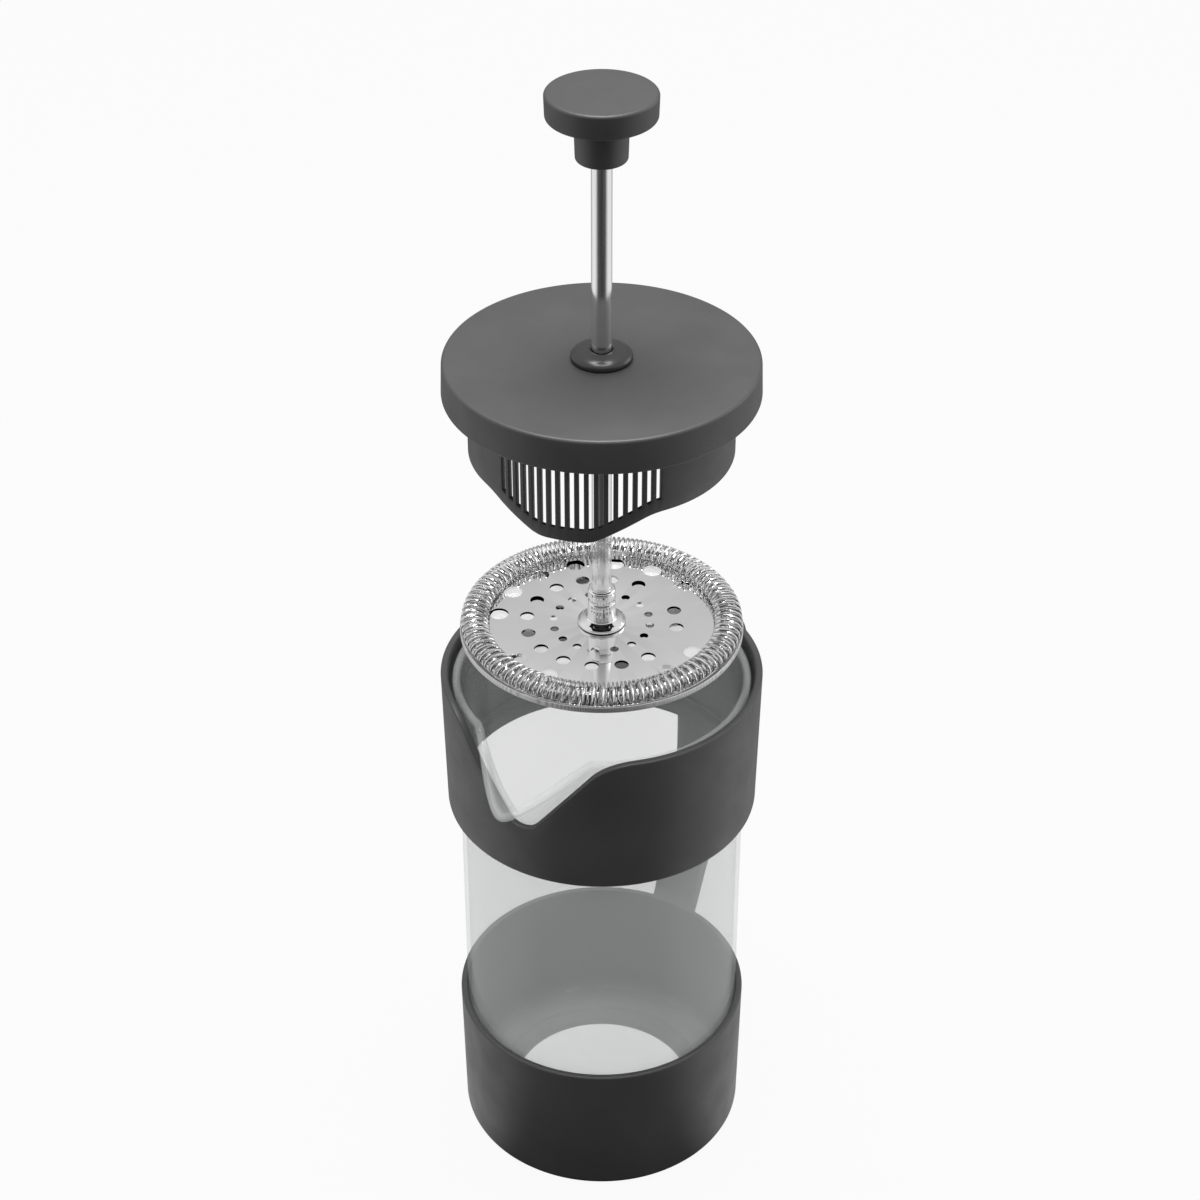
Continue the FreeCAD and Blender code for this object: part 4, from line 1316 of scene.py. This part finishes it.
# --------------------------------------------------------------------------------- scene
@dataclass
class Studio:
    """White floor, soft lamps and the camera."""

    distance: float = 0.7191
    height: float = 0.7213
    azimuth: float = -60.0
    pitch: float = 34.9
    lens: float = 81.3
    shift: float = -0.0014
    floor_size: float = 9.0
    floor_colour: float = 0.30
    floor_glow: float = 0.94
    sky_low: float = 0.22
    sky_high: float = 0.80
    card: float = 0.10
    mirrored_sky: float = 0.82
    mirror_stops: tuple[Point, ...] = ((0.06, 0.30), (0.30, 0.95), (0.72, 0.9), (0.87, 0.08), (1.0, 0.02))
    lamps: tuple[tuple[str, Corner, float, float], ...] = (
        ("top_light", (0.12, 0.10, 2.1), 0.9, 46.0), ("side_light", (1.2, -1.1, 0.7), 1.0, 4.0))
    aim: Corner = (0.0, 0.0, 0.2)

    def camera(self) -> None:
        """Place the camera."""
        turn = math.radians(self.azimuth)
        data = bpy.data.cameras.new("camera")
        data.lens = self.lens
        data.sensor_width = 36.0
        data.shift_x = self.shift
        data.clip_start = 0.01
        data.clip_end = 50.0
        camera = linked("camera", data)
        camera.location = (self.distance * math.sin(turn), -self.distance * math.cos(turn), self.height)
        camera.rotation_euler = (math.pi / 2 - math.radians(self.pitch), 0.0, turn)
        bpy.context.scene.camera = camera

    def floor(self) -> None:
        """Lay a white floor that keeps a faint shadow."""
        half = self.floor_size / 2
        mesh = bpy.data.meshes.new("floor")
        mesh.from_pydata([(-half, -half, 0), (half, -half, 0), (half, half, 0), (-half, half, 0)],
                         [], [(0, 1, 2, 3)])
        floor = linked("floor", mesh)
        s = Surface("white_floor")
        s.set(Base_Color=grey(self.floor_colour), Roughness=1.0)
        path = s.add("ShaderNodeLightPath")
        seen = s.math("MAXIMUM", path.outputs["Is Camera Ray"], path.outputs["Is Transmission Ray"])
        mirrored = path.outputs["Is Glossy Ray"]
        seen = s.math("MAXIMUM", seen, mirrored)
        glow = s.add("ShaderNodeEmission")
        glow.inputs["Strength"].default_value = 1.0
        far = s.remap(s.length(s.place), 0.0, 1.0, 0.55, 0.85)
        bent = s.math("MULTIPLY", far, path.outputs["Is Transmission Ray"])
        straight = s.blend(bent, grey(1.0), grey(self.card))
        s.feed(glow.inputs["Color"], s.blend(mirrored, straight, self.ramp(s, s.place)))
        mix = s.add("ShaderNodeMixShader")
        s.feed(mix.inputs[0], s.math("MULTIPLY", seen, self.floor_glow))
        s.feed(mix.inputs[1], s.shader.outputs[0])
        s.feed(mix.inputs[2], glow.outputs[0])
        s.feed(s.output.inputs["Surface"], mix.outputs[0])
        mesh.materials.append(s.material)

    def ramp(self, n: Nodes, place: bpy.types.NodeSocket) -> bpy.types.NodeSocket:
        """What polished metal mirrors: dark behind the camera, bright at its sides, grey at the back.

        Args:
            n: The tree to add to.
            place: A point or a direction round the axis.

        Returns:
            The colour at that place.
        """
        level = n.add("ShaderNodeVectorMath", operation="MULTIPLY")
        n.feed(level.inputs[0], place)
        level.inputs[1].default_value = (1.0, 1.0, 0.0)
        unit = n.add("ShaderNodeVectorMath", operation="NORMALIZE")
        n.feed(unit.inputs[0], level.outputs[0])
        facing = n.add("ShaderNodeVectorMath", operation="DOT_PRODUCT")
        n.feed(facing.inputs[0], unit.outputs[0])
        turn = math.radians(self.azimuth)
        facing.inputs[1].default_value = (math.sin(turn), -math.cos(turn), 0.0)
        bands = n.add("ShaderNodeValToRGB")
        n.feed(bands.inputs[0], n.remap(facing.outputs["Value"], 0.0, 1.0, -1.0, 1.0))
        stops = bands.color_ramp.elements
        for k, (position, shade) in enumerate(self.mirror_stops):
            stop = stops[k] if k < 2 else stops.new(position)
            stop.position = position
            stop.color = grey(shade)
        return bands.outputs[0]

    def world(self) -> None:
        """Light the scene from all round, darker high up where the glass bends light."""
        world = bpy.data.worlds.new("studio")
        world.use_nodes = True
        bpy.context.scene.world = world
        n = Nodes(world.node_tree)
        world.node_tree.nodes.clear()
        way = n.add("ShaderNodeTexCoord").outputs["Generated"]
        up = n.add("ShaderNodeSeparateXYZ")
        n.feed(up.inputs[0], way)
        height = up.outputs[2]
        path = n.add("ShaderNodeLightPath")
        overhead = n.blend(n.remap(height, 0.0, 1.0, 0.05, 0.85), grey(self.sky_low), grey(self.sky_high))
        through = n.blend(n.remap(height, 0.0, 1.0, 0.02, 0.22), grey(1.0), grey(self.card))
        colour = n.blend(path.outputs["Is Transmission Ray"], overhead, through)
        mirrored = n.blend(n.remap(height, 0.0, 1.0, 0.25, 0.75), self.ramp(n, way),
                           grey(self.mirrored_sky))
        colour = n.blend(path.outputs["Is Glossy Ray"], colour, mirrored)
        colour = n.blend(path.outputs["Is Camera Ray"], colour, grey(1.0))
        back = n.add("ShaderNodeBackground")
        n.feed(back.inputs["Color"], colour)
        end = n.add("ShaderNodeOutputWorld")
        n.feed(end.inputs["Surface"], back.outputs[0])

    def lamp(self, name: str, place: tuple[float, float, float], size: float, watts: float) -> None:
        """Hang a square softbox that faces the middle of the press."""
        data = bpy.data.lights.new(name, "AREA")
        data.shape = "SQUARE"
        data.size = size
        data.energy = watts
        lamp = linked(name, data)
        lamp.location = place
        lamp.rotation_euler = (Vector(self.aim) - Vector(place)).to_track_quat("-Z", "Y").to_euler()

    def build(self) -> None:
        """Set up everything that isn't the press."""
        self.camera()
        self.floor()
        self.world()
        for settings in self.lamps:
            self.lamp(*settings)
        bpy.context.scene.view_settings.view_transform = "Standard"


def main() -> None:
    """Build the studio and the press, group by group."""
    logging.basicConfig(level=logging.INFO, format="%(name)s %(message)s")
    Studio().build()
    Carafe(Beaker(), Collar(), Handle(), BaseCup()).build()
    Lid().build(Strainer())
    Guide().build()
    Plunger().build()
    FilterStack().build()


if __name__ == "__main__":
    main()
